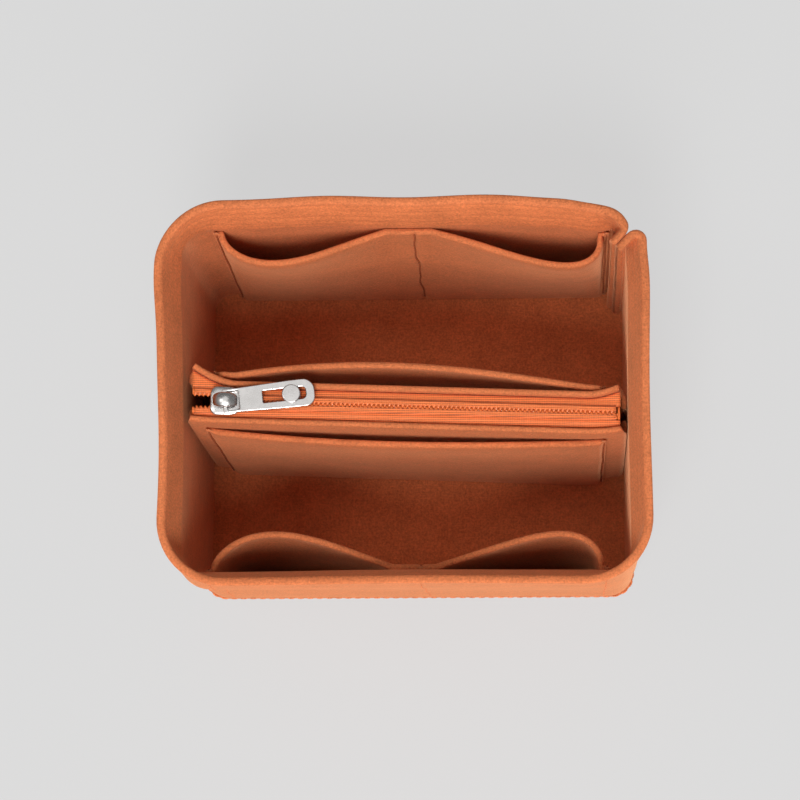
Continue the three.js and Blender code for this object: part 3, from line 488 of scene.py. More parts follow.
def pocket_table(panel_thickness):
    """Where each slip pocket lies, its bays, and the face that it is sewn to.

    A bay has its start and end, how far it bulges, where over its width it peaks, and whether it is mirrored.
    Curl is how much further it bellies out below its edge, and outward is the way it faces along Y."""
    lines = panel_lines(panel_thickness)
    return {
        "back_pocket": {
            "top": CREASE - 2.2,
            "ends": (-INNER_SIDE + 9.6, INNER_SIDE - 6.1),
            "seams": {"left": -INNER_SIDE + 10.545, "centre": 2.5, "right": INNER_SIDE - 7.045},
            "bays": [
                (-INNER_SIDE + 12.3, 2.5 - 9, 10.2, 0.32, False),
                (2.5 + 6, INNER_SIDE - 8.8, 12, 0.2, True),
            ],
            "curl": 0.7,
            "face": back_face,
            "outward": -1,
        },
        "front_pocket": {
            "top": CREASE - 6.2,
            "ends": (-INNER_SIDE + 7.6, INNER_SIDE - 7.1),
            "seams": {"left": -INNER_SIDE + 8.51, "centre": 4.5, "right": INNER_SIDE - 8.01},
            "bays": [
                (-INNER_SIDE + 10.2, 4.5 - 9, 11.7, 0.34, False),
                (4.5 + 5.5, INNER_SIDE - 9.7, 11.3, 0.25, True),
            ],
            "curl": 0.9,
            "face": front_face,
            "outward": 1,
        },
        "pouch_back_pocket": {
            "top": POUCH_HEIGHT - 2.8,
            "ends": (-INNER_SIDE + 10.6, INNER_SIDE - 7.9),
            "seams": {"left": -INNER_SIDE + 11.51, "right": INNER_SIDE - 8.81},
            "bays": [(-INNER_SIDE + 13.2, INNER_SIDE - 10.5, 5.9, 0.45, False)],
            "curl": 0.9,
            "face": lambda x, z: lines["back"][2](x),
            "outward": 1,
        },
        "pouch_front_pocket": {
            "top": POUCH_HEIGHT - 10.8,
            "ends": (-INNER_SIDE + 7, INNER_SIDE - 7.6),
            "seams": {"left": -INNER_SIDE + 7.91, "right": INNER_SIDE - 8.51},
            "bays": [(-INNER_SIDE + 9.6, INNER_SIDE - 10.2, 2.4, 0.45, False)],
            "curl": 0.5,
            "face": lambda x, z: lines["front"][2](x),
            "outward": -1,
        },
    }


def pocket_path(pocket, z, thickness):
    """The middle of a pocket's felt at a height. Below its upper edge, which curls in, it bellies out."""
    rise = ((z - POCKET_FOOT) / (pocket["top"] - POCKET_FOOT)) ** 1.2 if z > POCKET_FOOT else 0
    below = (pocket["top"] - z) / CURL_DEPTH
    curl = pocket["curl"] * below * math.exp(1 - below) * rise
    places, bulges = [np.linspace(pocket["ends"][0], pocket["bays"][0][0], 13)[:-1]], [np.zeros(12)]
    for number, (start, end, bulge, peak_share, mirrored) in enumerate(pocket["bays"]):
        if number:
            places.append(np.linspace(pocket["bays"][number - 1][1], start, 61)[1:-1])
            bulges.append(np.zeros(59))
        share = np.linspace(0, 1, 41) ** 1.35
        share = 1 - share[::-1] if mirrored else share
        places.append(start + (end - start) * share)
        bulges.append((bulge * rise + curl) * hump(1 - share if mirrored else share, peak_share))
    places.append(np.linspace(pocket["bays"][-1][1], pocket["ends"][1], 13)[1:])
    bulges.append(np.zeros(12))
    x = np.concatenate(places)
    outward = pocket["outward"]
    flat = beside(lambda at: pocket["face"](at, z), outward * (SEWN_GAP + thickness / 2))
    return np.column_stack([x, flat(x) + outward * np.concatenate(bulges)])


# How the soft pieces have settled: one gentle field moves them all alike, so sewn layers stay together

def settled(points, wave):
    """Points of the felt, moved as its free rim has bowed. The field fades out towards the zip."""
    x, y, z = points[:, 0], points[:, 1], points[:, 2]
    up = smooth(z, 40, 118)
    left, right = smooth(-x, 66, 82) * up, smooth(x, 66, 82) * up
    back, front = smooth(y, 44, 62) * up, smooth(-y, 44, 62) * up
    left_bow = 1.3 * bell(y, -22, 30) - 1.2 * bell(y, 40, 14)
    right_bow = -0.9 * bell(y, 0, 34) - 1.1 * bell(y, 50, 9)
    back_bow = 1.3 * bell(x, -26, 20) + 0.9 * bell(x, 26, 18) - 0.6 * bell(x, 51, 12) - 2.2 * bell(x, 65, 8)
    front_bow = 0.6 * bell(x, 0, 50)
    fold_level = 74 - 0.12 * x
    fold = 1.4 * bell(z, fold_level, 15) - 1.2 * bell(z, fold_level - 38, 16)
    fold = fold * (0.35 + 0.65 * smooth(-x, -25, 45)) * smooth(-y, 48, 58) * smooth(z, 4, 24)
    free = np.maximum(np.maximum(left, right), np.maximum(back, front))
    lift = 0.5 * (np.sin(x / 19) + np.sin(y / 15 + 1)) * smooth(z, 90, 119)
    moved = points.copy()
    moved[:, 0] += wave * (left * left_bow + right * right_bow)
    moved[:, 1] += wave * (back * back_bow + front * front_bow - fold)
    moved[:, 2] += wave * free * lift
    return moved


# Meshes

def new_piece(name, points, faces, materials, material_index=None):
    """A smooth mesh object with its faces turned outwards, from points in millimetres."""
    points = np.asarray(points, float)
    corners = [(f[0], f[k], f[k + 1]) for f in faces for k in range(1, len(f) - 1)]
    a, b, c = (points[list(column)] for column in zip(*corners))
    if np.einsum("ij,ij->", a, np.cross(b, c)) < 0:
        faces = [f[::-1] for f in faces]
    mesh = bpy.data.meshes.new(name)
    mesh.from_pydata((points * MM).tolist(), [], faces)
    for material in materials:
        mesh.materials.append(material)
    if material_index is not None:
        mesh.polygons.foreach_set("material_index", material_index)
    mesh.shade_smooth()
    mesh.update()
    piece = bpy.data.objects.new(name, mesh)
    bpy.context.scene.collection.objects.link(piece)
    return piece


def stacked_faces(rings, count):
    """Faces of a surface through rings of as many points, with a flat cap at each end."""
    faces = []
    for i in range(rings - 1):
        for j in range(count):
            k = (j + 1) % count
            faces.append((i * count + j, i * count + k, (i + 1) * count + k, (i + 1) * count + j))
    faces.append(tuple(range(count))[::-1])
    faces.append(tuple(range((rings - 1) * count, rings * count)))
    return faces


def ring_faces(columns, ring):
    """Faces of a surface through flat rings of points, with ladder caps that can bend."""
    faces = stacked_faces(columns, ring)[:-2]
    for first in (0, (columns - 1) * ring):
        for j in range(ring // 2 - 1):
            faces.append((first + j, first + j + 1, first + ring - 2 - j, first + ring - 1 - j))
    return faces


def tube(path, radius, sides, up, spread=1.0):
    """Points and faces of a tube along a path, drawn out by spread in the direction of up."""
    path = np.asarray(path, float)
    tangent = np.gradient(path, axis=0)
    tangent /= np.linalg.norm(tangent, axis=1)[:, None]
    across = np.cross(tangent, np.asarray(up, float))
    across /= np.linalg.norm(across, axis=1)[:, None]
    other = np.cross(across, tangent)
    angles = round_turn(sides)
    other = other * np.broadcast_to(spread, len(path))[:, None]
    across, other = across[:, None] * radius, other[:, None] * radius
    rings = [path[:, None] + across * math.cos(t) + other * math.sin(t) for t in angles]
    return np.concatenate(rings, axis=1).reshape(-1, 3), stacked_faces(len(path), sides)


def joined(parts):
    """Several pairs of points and faces as one."""
    points, faces, offset = [], [], 0
    for some_points, some_faces in parts:
        points.append(some_points)
        faces += [tuple(index + offset for index in face) for face in some_faces]
        offset += len(some_points)
    return np.concatenate(points), faces


def felt_strip(name, path_at, low, high, thickness, heights, settings, relief=None, trim=None):
    """A strip of felt on edge, with worn edges, whose middle follows a line for each height.

    Relief is how deep its faces are pressed in, and trim is how much lower its upper edge is cut."""
    half = thickness / 2
    edge = min(mm(settings.edge_round), half * ROUNDEST)
    wave = mm(settings.rim_wave)
    bends = np.radians([0, 22.5, 45, 67.5, 90])
    stations = [(low + edge - edge * math.cos(t), half - edge + edge * math.sin(t), True) for t in bends]
    stations += [(z, half, False) for z in heights if low + edge < z < high - edge]
    stations += [(high - edge + edge * math.sin(t), half - edge + edge * math.cos(t), True) for t in bends]
    end_places = edge * (1 - np.cos(bends))
    left_side, right_side = [], []
    for z, across, _ in stations:
        path = path_at(z)
        at = distances(path)
        places = np.sort(np.concatenate([at, end_places[1:], at[-1] - end_places[1:]]))
        path = along(path, places)
        from_end = np.minimum(np.minimum(places, places[-1] - places), edge)
        reach = half - edge + np.sqrt(edge**2 - (edge - from_end) ** 2)
        normal = left_of(path)
        level = np.full(len(path), z)
        if trim is not None:
            level = level - trim(path, np.minimum(places, places[-1] - places)) * (z - low) / (high - low)
        for sign, side in ((1, left_side), (-1, right_side)):
            depth = 0 if relief is None else relief(sign, z, path)
            offset = sign * (np.minimum(across, reach) - depth)
            side.append(np.column_stack([path + normal * offset[:, None], level]))
    grid = np.stack(left_side + right_side[::-1], axis=1)
    columns, ring = grid.shape[:2]
    cut = [a[2] and b[2] for a, b in zip(stations, stations[1:])]
    cut = cut + [True] + cut[::-1] + [True]
    faces = ring_faces(columns, ring)
    index = [int(cut[k % ring]) if k < (columns - 1) * ring else 1 for k in range(len(faces))]
    points = settled(grid.reshape(-1, 3), wave)
    return new_piece(name, points, faces, felts(settings), index)


def domed_plate(outline, levels):
    """Points and faces of a plate from copies of an outline, each (inset, height), from the bottom up."""
    centre = (outline.max(0) + outline.min(0)) / 2
    half = (outline.max(0) - outline.min(0)) / 2
    rings = []
    for inset, z in levels:
        share = np.maximum(1 - inset / half, 0.001)
        rings.append(points_of(*(centre + (outline - centre) * share).T, z))
    return np.concatenate(rings), stacked_faces(len(rings), len(outline))


def plate_levels(low, high, edge, half, crown=0.0):
    """Insets and heights of a plate with rounded edges and a crowned top."""
    bends = np.radians([0, 30, 60, 90])
    levels = [(half * share, low) for share in (0.98, 0.7, 0.4)]
    levels += [(edge - edge * math.sin(t), low + edge - edge * math.cos(t)) for t in bends]
    levels += [(edge - edge * math.cos(t), high - edge + edge * math.sin(t)) for t in bends]
    for share in (0.25, 0.4, 0.55, 0.7, 0.85, 0.98):
        levels.append((half * share, high + crown * math.sqrt(1 - (1 - share) ** 2)))
    return levels


def finish_piece(piece, body, slot, *nodes):
    """Puts a piece on its body, in place of its CAD nodes."""
    if nodes:
        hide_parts(*nodes)
    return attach(piece, body)


def stretch_sheet(piece, node, middle, height, **rests):
    """Puts a felt piece on the box in place of its node. The middle line's length is worked out but not kept,
    and the height is not used.
    """
    finish_piece(piece, "organizer", "felt", node)
    distances(middle)[-1] * MM


# Materials

def new_material(name):
    """A material with a shader alone, its node tree, and the shader."""
    material = bpy.data.materials.new(name)
    material.use_nodes = True
    tree = material.node_tree
    tree.nodes.clear()
    shader = tree.nodes.new("ShaderNodeBsdfPrincipled")
    output = tree.nodes.new("ShaderNodeOutputMaterial")
    tree.links.new(shader.outputs["BSDF"], output.inputs["Surface"])
    return material, tree, shader


def set_values(node, values):
    for name, value in values.items():
        node.inputs[name].default_value = value


def noise(tree, scale, detail, stretch=(1, 1, 1)):
    """Noise of a given size in metres on the piece's own coordinates, drawn out by stretch."""
    place = tree.nodes.new("ShaderNodeTexCoord")
    mapping = tree.nodes.new("ShaderNodeMapping")
    texture = tree.nodes.new("ShaderNodeTexNoise")
    set_values(mapping, {"Scale": [1 / s for s in stretch]})
    set_values(texture, {"Scale": 1 / scale, "Detail": detail})
    tree.links.new(place.outputs["Object"], mapping.inputs["Vector"])
    tree.links.new(mapping.outputs["Vector"], texture.inputs["Vector"])
    return texture.outputs["Fac"]


def bands(tree, direction, scale, distortion):
    """Even bands across one direction of the piece's own coordinates."""
    place = tree.nodes.new("ShaderNodeTexCoord")
    wave = tree.nodes.new("ShaderNodeTexWave")
    wave.bands_direction = direction
    set_values(wave, {"Scale": scale, "Distortion": distortion})
    tree.links.new(place.outputs["Object"], wave.inputs["Vector"])
    return wave.outputs["Fac"]


def combine(tree, operation, first, second):
    """A Math node on two values, each an output or a number."""
    node = tree.nodes.new("ShaderNodeMath")
    node.operation = operation
    for socket, value in zip(node.inputs, (first, second)):
        if isinstance(value, (int, float)):
            socket.default_value = value
        else:
            tree.links.new(value, socket)
    return node.outputs["Value"]


def total(tree, *shares):
    """The sum of several values, each with the share that it counts for."""
    added = None
    for value, share in shares:
        part = value if share == 1 else combine(tree, "MULTIPLY", value, share)
        added = part if added is None else combine(tree, "ADD", added, part)
    return added


def ramp(tree, socket, factor, *stops):
    """Sets a socket of the shader by a value, through colours or greys at given places."""
    node = tree.nodes.new("ShaderNodeValToRGB")
    while len(node.color_ramp.elements) < len(stops):
        node.color_ramp.elements.new(0.5)
    for element, (place, colour) in zip(node.color_ramp.elements, stops):
        element.position = place
        element.color = (*((colour,) * 3 if isinstance(colour, float) else colour), 1)
    tree.links.new(factor, node.inputs["Fac"])
    tree.links.new(node.outputs["Color"], socket)


def bump(tree, shader, height, distance, strength):
    node = tree.nodes.new("ShaderNodeBump")
    set_values(node, {"Strength": strength, "Distance": distance})
    tree.links.new(height, node.inputs["Height"])
    tree.links.new(node.outputs["Normal"], shader.inputs["Normal"])


def shade(colour, factor):
    return tuple(min(1.0, c * factor) for c in colour)


def felt_material(name, colour, fibre, loose):
    """Pressed wool felt. Short fibres lie every way in it, and loose says how far they stand up."""
    material, tree, shader = new_material(name)
    strands = noise(tree, fibre, 2, (9, 1, 1))
    for stretch in ((1, 9, 1), (1, 1, 9)):
        strands = combine(tree, "MAXIMUM", strands, noise(tree, fibre, 2, stretch))
    grain = noise(tree, fibre * 2, 3)
    cloud = noise(tree, fibre * 24, 4)
    shares = total(tree, (strands, 0.4), (grain, 0.5), (cloud, 0.2))
    stops = (0.4, shade(colour, 0.68)), (0.57, colour), (0.74, shade(colour, 1.34))
    ramp(tree, shader.inputs["Base Color"], shares, *stops)
    bump(tree, shader, total(tree, (strands, 1), (grain, 0.8)), fibre * (0.6 + loose), 0.55)
    set_values(shader, {"Roughness": 0.92, "Specular IOR Level": 0.2})
    set_values(shader, {"Sheen Weight": 0.5, "Sheen Roughness": 0.35, "Sheen Tint": (1.0, 0.5, 0.26, 1)})
    return material


def thread_material(name, colour, thread):
    """Twisted sewing thread with a faint shine."""
    material, tree, shader = new_material(name)
    twist = noise(tree, thread * 0.6, 3, (1, 1, 2))
    ramp(tree, shader.inputs["Base Color"], twist, (0.35, shade(colour, 0.6)), (0.65, shade(colour, 1.3)))
    bump(tree, shader, twist, thread * 0.3, 0.5)
    set_values(shader, {"Roughness": 0.75, "Specular IOR Level": 0.25})
    return material


def tape_material(name, colour):
    """Woven polyester tape: fine ribs along the zip, crossed by its weft."""
    material, tree, shader = new_material(name)
    weave = total(tree, (bands(tree, "Y", 420, 0.6), 0.55), (bands(tree, "X", 520, 0.8), 0.2))
    shares = total(tree, (weave, 1), (noise(tree, 0.0011, 4), 0.35))
    stops = (0.2, shade(colour, 0.6)), (0.55, colour), (0.85, shade(colour, 1.3))
    ramp(tree, shader.inputs["Base Color"], shares, *stops)
    bump(tree, shader, weave, 0.00012, 0.8)
    set_values(shader, {"Roughness": 0.7, "Sheen Weight": 0.2})
    return material


def coil_material(name, colour):
    """Dyed nylon wire, smooth and a little waxy."""
    material, tree, shader = new_material(name)
    cloud = noise(tree, 0.0009, 3)
    ramp(tree, shader.inputs["Base Color"], cloud, (0.3, shade(colour, 0.8)), (0.7, shade(colour, 1.15)))
    ramp(tree, shader.inputs["Roughness"], cloud, (0.3, 0.38), (0.7, 0.5))
    bump(tree, shader, cloud, 0.00003, 0.4)
    set_values(shader, {"Coat Weight": 0.15})
    return material


def metal_material(name, colour):
    """Nickel-plated zinc: bright, with faint clouding and rub marks."""
    material, tree, shader = new_material(name)
    cloud = noise(tree, 0.0035, 4)
    marks = noise(tree, 0.00022, 3, (14, 1, 1))
    ramp(tree, shader.inputs["Base Color"], cloud, (0.3, shade(colour, 0.9)), (0.7, shade(colour, 1.06)))
    worn = total(tree, (cloud, 0.6), (marks, 0.4))
    ramp(tree, shader.inputs["Roughness"], worn, (0.35, 0.2), (0.7, 0.36))
    bump(tree, shader, marks, 0.00001, 0.25)
    set_values(shader, {"Metallic": 1})
    return material


def floor_material(name, colour, glow):
    """Matt translucent sheet, lit from below."""
    material, tree, shader = new_material(name)
    grain = noise(tree, 0.004, 3)
    ramp(tree, shader.inputs["Base Color"], grain, (0.3, shade(colour, 0.995)), (0.7, shade(colour, 1.005)))
    set_values(shader, {"Roughness": 0.95, "Specular IOR Level": 0.1})
    set_values(shader, {"Emission Color": (1, 1, 1, 1), "Emission Strength": glow})
    return material


def shared(name, make, *values):
    """The material of that name, made on its first use."""
    return bpy.data.materials.get(name) or make(name, *values)


def felts(settings):
    """The felt's pressed face and its cut edge."""
    return [
        shared("pressed_felt", felt_material, tuple(settings.face), settings.fibre, 0.0),
        shared("cut_felt", felt_material, tuple(settings.edge), settings.fibre, 1.0),
    ]


def woven_tape(settings):
    return shared("woven_tape", tape_material, tuple(settings.tape_colour))


def plated_metal(settings):
    return shared("plated_metal", metal_material, tuple(settings.metal_colour))


# Stitches

# How far along a stitch, and how many of its thread's radii over the face
STITCH_SHAPE = np.array([(0, -1.6), (0.06, 0.1), (0.2, 0.9), (0.5, 1.1), (0.8, 0.9), (0.94, 0.1), (1, -1.6)])


def stitch_line(path, outward, settings, wave):
    """Stitches along a line on a face, each a thread that rises out of the felt and dives back in."""
    pitch, shown, radius = mm(settings.pitch), mm(settings.length), mm(settings.thread) / 2
    path = np.asarray(path, float)
    outward = np.asarray(outward, float) * np.ones_like(path)
    at = distances(path)
    parts = []
    count = int(at[-1] / pitch)
    for k in range(count):
        start = (at[-1] - count * pitch) / 2 + k * pitch + (pitch - shown) / 2
        places = start + shown * STITCH_SHAPE[:, 0]
        on_face = along(path, places)
        normal = np.column_stack([np.interp(places, at, outward[:, i]) for i in range(3)])
        line = settled(on_face, wave) + normal * (STITCH_SHAPE[:, 1] * radius)[:, None]
        parts.append(tube(line, radius, 6, np.cross(normal[0], on_face[-1] - on_face[0])))
    return joined(parts)


def seam_drift(side, z):
    """How far a row that was sewn by hand wanders at a height."""
    share = 1 if side == "centre" else 0.3
    return share * (0.35 * np.sin(z / 7) + 0.2 * np.sin(z / 3.1 + 1))


def groove(side):
    """How deep and how wide a row of stitches draws the pocket's felt in."""
    return (0.6, 0.7) if side == "centre" else (1.0, 1.1)


def stitch_rows():
    """Every upright row of stitches: its node, its line on the face, and the way that the face looks."""
    settings = bpy.context.scene.organizer_felt
    wall, panel = mm(settings.wall_thickness), mm(settings.panel_thickness)
    low = SHELF + ROW_FOOT
    sewn = SEWN_GAP + mm(settings.pocket_thickness)
    lines = panel_lines(panel)
    rows = []

    def row(name, side, x, high, face, outward):
        slope = float(face(x + 0.5, low) - face(x - 0.5, low))
        line = []
        for z in np.linspace(low, high, 32):
            at = x + seam_drift(side, z)
            line.append((at, float(face(at, z)), z))
        rows.append((name, line, unit(np.array([-slope, 1, 0])) * outward))

    under = {
        "back_pocket": lambda x, z: wall_faces(z)[1] + 0 * x,
        "front_pocket": lambda x, z: wall_faces(z)[2] + 0 * x,
        "pouch_back_pocket": lambda x, z: lines["back"][1](x),
        "pouch_front_pocket": lambda x, z: lines["front"][1](x),
    }
    for name, pocket in pocket_table(panel).items():
        outward = pocket["outward"]
        high = pocket["top"] - ROW_TOP
        if name == "pouch_back_pocket":
            high = TAPE_LEVEL - TAPE_LEG - ROW_UNDER_TAPE
        for side, x in pocket["seams"].items():
            front = beside_at(pocket["face"], outward * (sewn - groove(side)[0]))
            row(f"{name}_{side}_thread", side, x, high, front, outward)
            row(f"{name}_{side}_under_thread", side, x, high, under[name], -outward)

    # The pouch's turned ends, sewn to the side walls
    end = INNER_SIDE - SEWN_GAP - panel / 2
    top = POUCH_HEIGHT - FLANGE_CUT - 2
    for sign, side in ((-1, "left"), (1, "right")):
        for face, outward in SIDES:
            y = float(lines[face][0](sign * end)) - outward * POUCH_FLANGE * END_ROW_SHARE
            name = f"pouch_{face}_{side}_end"
            inner, away = sign * (end - panel / 2), np.array([sign, 0, 0])
            rows.append((name + "_thread", [(inner, y, low), (inner, y, top)], -away))
            outer = [(sign * wall_faces(z)[0], y, z) for z in (low, top)]
            rows.append((name + "_under_thread", outer, away))
    corner = []
    for z in (low, CREASE - 4):
        inwards = SEAM_OUTWARDS * by_height(SEAM_ALLOWANCE, z) * CORNER_ROW_SHARE
        corner.append((*(seam_notch(z) - inwards + SEAM_ACROSS * (SEWN_GAP / 2 + wall)), z))
    rows.append(("corner_seam_thread", corner, unit(np.array([1, -1, 0]))))
    return rows


def beside_at(face, distance):
    """A face moved square to itself, as a function of x and z."""
    return lambda x, z: beside(lambda at: face(at, z), distance)(x)


# Zip

def from_zip(points):
    """Points of the zip's own frame, X along the chain and Y to the back, in the box's frame."""
    points = np.asarray(points, float).copy()
    c, s = math.cos(POUCH_SKEW), math.sin(POUCH_SKEW)
    x, y = points[:, 0].copy(), points[:, 1].copy()
    points[:, 0] = c * x - s * y - ZIP_OFFSET * s
    points[:, 1] = s * x + c * y + POUCH_CENTRE_Y + ZIP_OFFSET * c
    return points


ZIP_LEFT = -INNER_SIDE + 3.1
ZIP_RIGHT = INNER_SIDE - 2.6
SLIDER_AT = ZIP_LEFT + 11.8
COIL_END_GAP = 1.1
SLIDE = next(joint for joint in frame["joints"] if joint["name"] == "zip_slide")
OPENING_TRAVEL = mm(SLIDE["range_m"][1])
CLOSING_TRAVEL = -mm(SLIDE["range_m"][0])
LOCKED_AT = 2.2  # how far behind the slider's middle its rows have locked
OPEN_REACH = 3.5  # how far the open end's rows reach into the slider
PACKED_START, PACKED_END = 0.6, 8.4  # in the slider, where the drawn-out rows are packed at rest
DRAWN_IN = 0.1  # how much closer they lie than the open end's
THINNER, RAISED = 0.98, 0.08  # the carried wires' thickness, and how far they lie over the others
COVER_STEP = 1.5
COVER_UNDERSIDE = -0.75
# Distance from the chain's middle and rise over the coil's top of the threads that cover a row
COVER_PROFILE = [(0.6, -0.5), (0.68, -0.12), (0.85, 0.1), (1.1, 0.12), (1.3, -0.1)]
COVER_PROFILE += [(1.52, 0.06), (1.8, 0.1), (2.1, -0.1), (2.22, -0.6)]


def as_is(x):
    return x


def coil(turns, spread, sign, wire, thin=1.0, raised=0.0, pack=as_is):
    """One row of the chain: a nylon wire that turns once between each two places along the zip.

    The wire is flattened where it lies on the tape, and round where the rows lock into each other.
    Pack moves its finished points along the zip."""
    radius = wire / 2 * thin
    angle = round_turn(12)
    x = np.concatenate([a + (b - a) * angle / (2 * math.pi) for a, b in zip(turns, turns[1:])])
    pitch = np.interp(x, turns[:-1], np.diff(turns))
    angle = np.tile(angle, len(turns) - 1)
    middle = (COIL_BACK - COIL_REACH) / 2
    reach = (COIL_BACK + COIL_REACH) / 2 - radius
    across = middle - reach * np.cos(angle)
    z = COIL_LOW + raised + COIL_HEIGHT / 2 + (COIL_HEIGHT / 2 - radius) * np.sin(angle)
    flattened = 1 + (pitch * 0.94 / (2 * radius) - 1) * smooth(across, 0.1, 1.0)
    path = points_of(x, sign * (spread(x) + across), z)
    points, faces = tube(path, radius, 8, (1, 0, 0), flattened)
    points[:, 0] = pack(points[:, 0])
    return from_zip(points), faces


def lengthways(start, end):
    return np.linspace(start, end, max(2, int((end - start) / COVER_STEP)))


def coil_bed(turns, spread, sign, raised=0.0):
    """The woven edge that a row of the coil is sewn down on."""
    x = lengthways(turns[0], turns[-1])
    inner, outer = sign * (spread(x) + 0.12), sign * (spread(x) + COIL_BACK + 0.1 + raised)
    low, high = COIL_LOW - 0.04, COIL_LOW + 0.22 + raised
    ring = ((inner, low), (outer, low), (outer, high), (inner, high))
    grid = np.stack([points_of(x, y, z) for y, z in ring], axis=1)
    return from_zip(grid.reshape(-1, 3)), ring_faces(len(x), 4)


def coil_cover(turns, spread, sign, raised=0.0):
    """The two sewing threads over a row of the coil, which leave only its locked loops bare."""
    x = lengthways(turns[0], turns[-1])
    top = COIL_LOW + COIL_HEIGHT + raised
    ring = COVER_PROFILE + [(across, COVER_UNDERSIDE) for across, _ in reversed(COVER_PROFILE)]
    wider = 1 + raised / 2
    lines = [points_of(x, sign * (spread(x) + across * wider), top + rise) for across, rise in ring]
    return from_zip(np.stack(lines, axis=1).reshape(-1, 3)), ring_faces(len(x), len(ring))


def chain_piece(name, wires, woven, settings):
    """A piece of the chain, from its nylon wires and the woven parts that hold them."""
    points, faces = joined(wires + woven)
    woven_faces = sum(len(some) for _, some in woven)
    index = [0] * (len(faces) - woven_faces) + [1] * woven_faces
    nylon = shared("nylon_coil", coil_material, tuple(settings.coil_colour))
    return new_piece(name, points, faces, [nylon, woven_tape(settings)], index)


def spread_at(x):
    """How far each row has moved out from the closed chain."""
    in_slider = smooth((SLIDER_AT + LOCKED_AT - x) / (LOCKED_AT + SLIDER_LENGTH / 2))
    beyond = smooth((SLIDER_AT - SLIDER_LENGTH / 2 - x) / (SLIDER_LENGTH / 4))
    return COIL_SPREAD_IN_SLIDER * in_slider + (COIL_SPREAD - COIL_SPREAD_IN_SLIDER) * beyond


# Operators

class ORGANIZER_OT_wall(bpy.types.Operator):
    """Add the wall: one strip of felt, flared above its pressed crease."""

    bl_idname = "organizer.wall"
    bl_label = "Wall"

    def execute(self, context):
        settings = context.scene.organizer_felt
        thickness = mm(settings.wall_thickness)
        heights = [*np.linspace(SHELF, CREASE - 4, 30), *np.linspace(CREASE - 3.5, BOX_HEIGHT, 36)]
        ends = pocket_table(mm(settings.panel_thickness))["back_pocket"]["ends"]

        def relief(sign, z, path):
            """Lines pressed along the inner face of the rim, and a dent at each end of the back pocket."""
            if sign > 0:
                return 0
            x, at_back = path[:, 0], smooth(path[:, 1], 40, 58)
            pressed = sum(0.28 * bell(z, CREASE + line, 0.55) for line in PRESSED_LINES)
            pressed += 0.35 * bell(z, CREASE, 0.8)
            uneven = 0.65 + 0.35 * np.sin(x / 11 + z)
            dents = bell(x, ends[0] - 0.9, 0.9) + bell(x, ends[1] + 0.9, 0.9)
            dents = dents * 0.9 * at_back * (1 - smooth(z, CREASE - 6, CREASE - 1))
            return pressed * (0.3 + 0.7 * at_back) * uneven + dents

        def path_at(z):
            return wall_path(z, thickness)

        piece = felt_strip("felt_wall", path_at, SHELF, BOX_HEIGHT, thickness, heights, settings, relief)
        stretch_sheet(piece, "outer_wall", path_at(CREASE), BOX_HEIGHT - SHELF, rests_on=["base_panel"])
        return {"FINISHED"}


class ORGANIZER_OT_base(bpy.types.Operator):
    """Add the base: one flat piece of felt under the foot of the wall."""

    bl_idname = "organizer.base"
    bl_label = "Base"

    def execute(self, context):
        settings = context.scene.organizer_felt
        outline = base_outline()
        high = SHELF - THREAD_GAP
        half = (outline[:, 1].max() - outline[:, 1].min()) / 2
        levels = plate_levels(0, high, mm(settings.edge_round), half)
        points, faces = domed_plate(outline, levels)
        count = len(outline)
        cut_edge = range(3, 9)  # the bands of faces between its two flat sides
        index = [int(k // count in cut_edge) for k in range(len(faces))]
        piece = new_piece("felt_base", points, faces, felts(settings), index)
        finish_piece(piece, "organizer", "felt", "base_panel")
        return {"FINISHED"}


class ORGANIZER_OT_slip_pockets(bpy.types.Operator):
    """Add the slip pockets on the walls and on both faces of the pouch."""

    bl_idname = "organizer.slip_pockets"
    bl_label = "Slip Pockets"

    def execute(self, context):
        settings = context.scene.organizer_felt
        thickness = mm(settings.pocket_thickness)
        low = POCKET_FOOT
        for name, pocket in pocket_table(mm(settings.panel_thickness)).items():

            def relief(sign, z, path, pocket=pocket):
                """A groove along each row of stitches, on the face that shows."""
                if sign != pocket["outward"]:
                    return 0
                depth = 0
                for side, x in pocket["seams"].items():
                    deepest, width = groove(side)
                    depth += deepest * bell(path[:, 0] - x, seam_drift(side, z), width)
                return depth

            def path_at(z, pocket=pocket):
                return pocket_path(pocket, z, thickness)

            top = pocket["top"]
            heights = np.linspace(low, top, 34)
            piece = felt_strip("felt_" + name, path_at, low, top, thickness, heights, settings, relief)
            stretch_sheet(piece, name, path_at((low + top) / 2), top - low)
        return {"FINISHED"}


class ORGANIZER_OT_pouch(bpy.types.Operator):
    """Add the two panels of the zipped pouch."""

    bl_idname = "organizer.pouch"
    bl_label = "Pouch Panels"

    def execute(self, context):
        settings = context.scene.organizer_felt
        thickness = mm(settings.panel_thickness)
        low = POCKET_FOOT
        lines = panel_lines(thickness)

        def trim(path, from_end):
            """The turned ends are cut down, so that they don't show over the zip."""
            return FLANGE_CUT * smooth(-from_end, -POUCH_FLANGE - 0.9, -POUCH_FLANGE + 1.6)

        heights = np.linspace(low, POUCH_HEIGHT, 30)
        for face, outward in SIDES:
            path = panel_path(lines[face][0], -outward, thickness)
            name, path_at = "felt_pouch_" + face, lambda z, path=path: path
            piece = felt_strip(name, path_at, low, POUCH_HEIGHT, thickness, heights, settings, trim=trim)
            stretch_sheet(piece, f"pouch_{face}_panel", path, POUCH_HEIGHT - low)
        return {"FINISHED"}


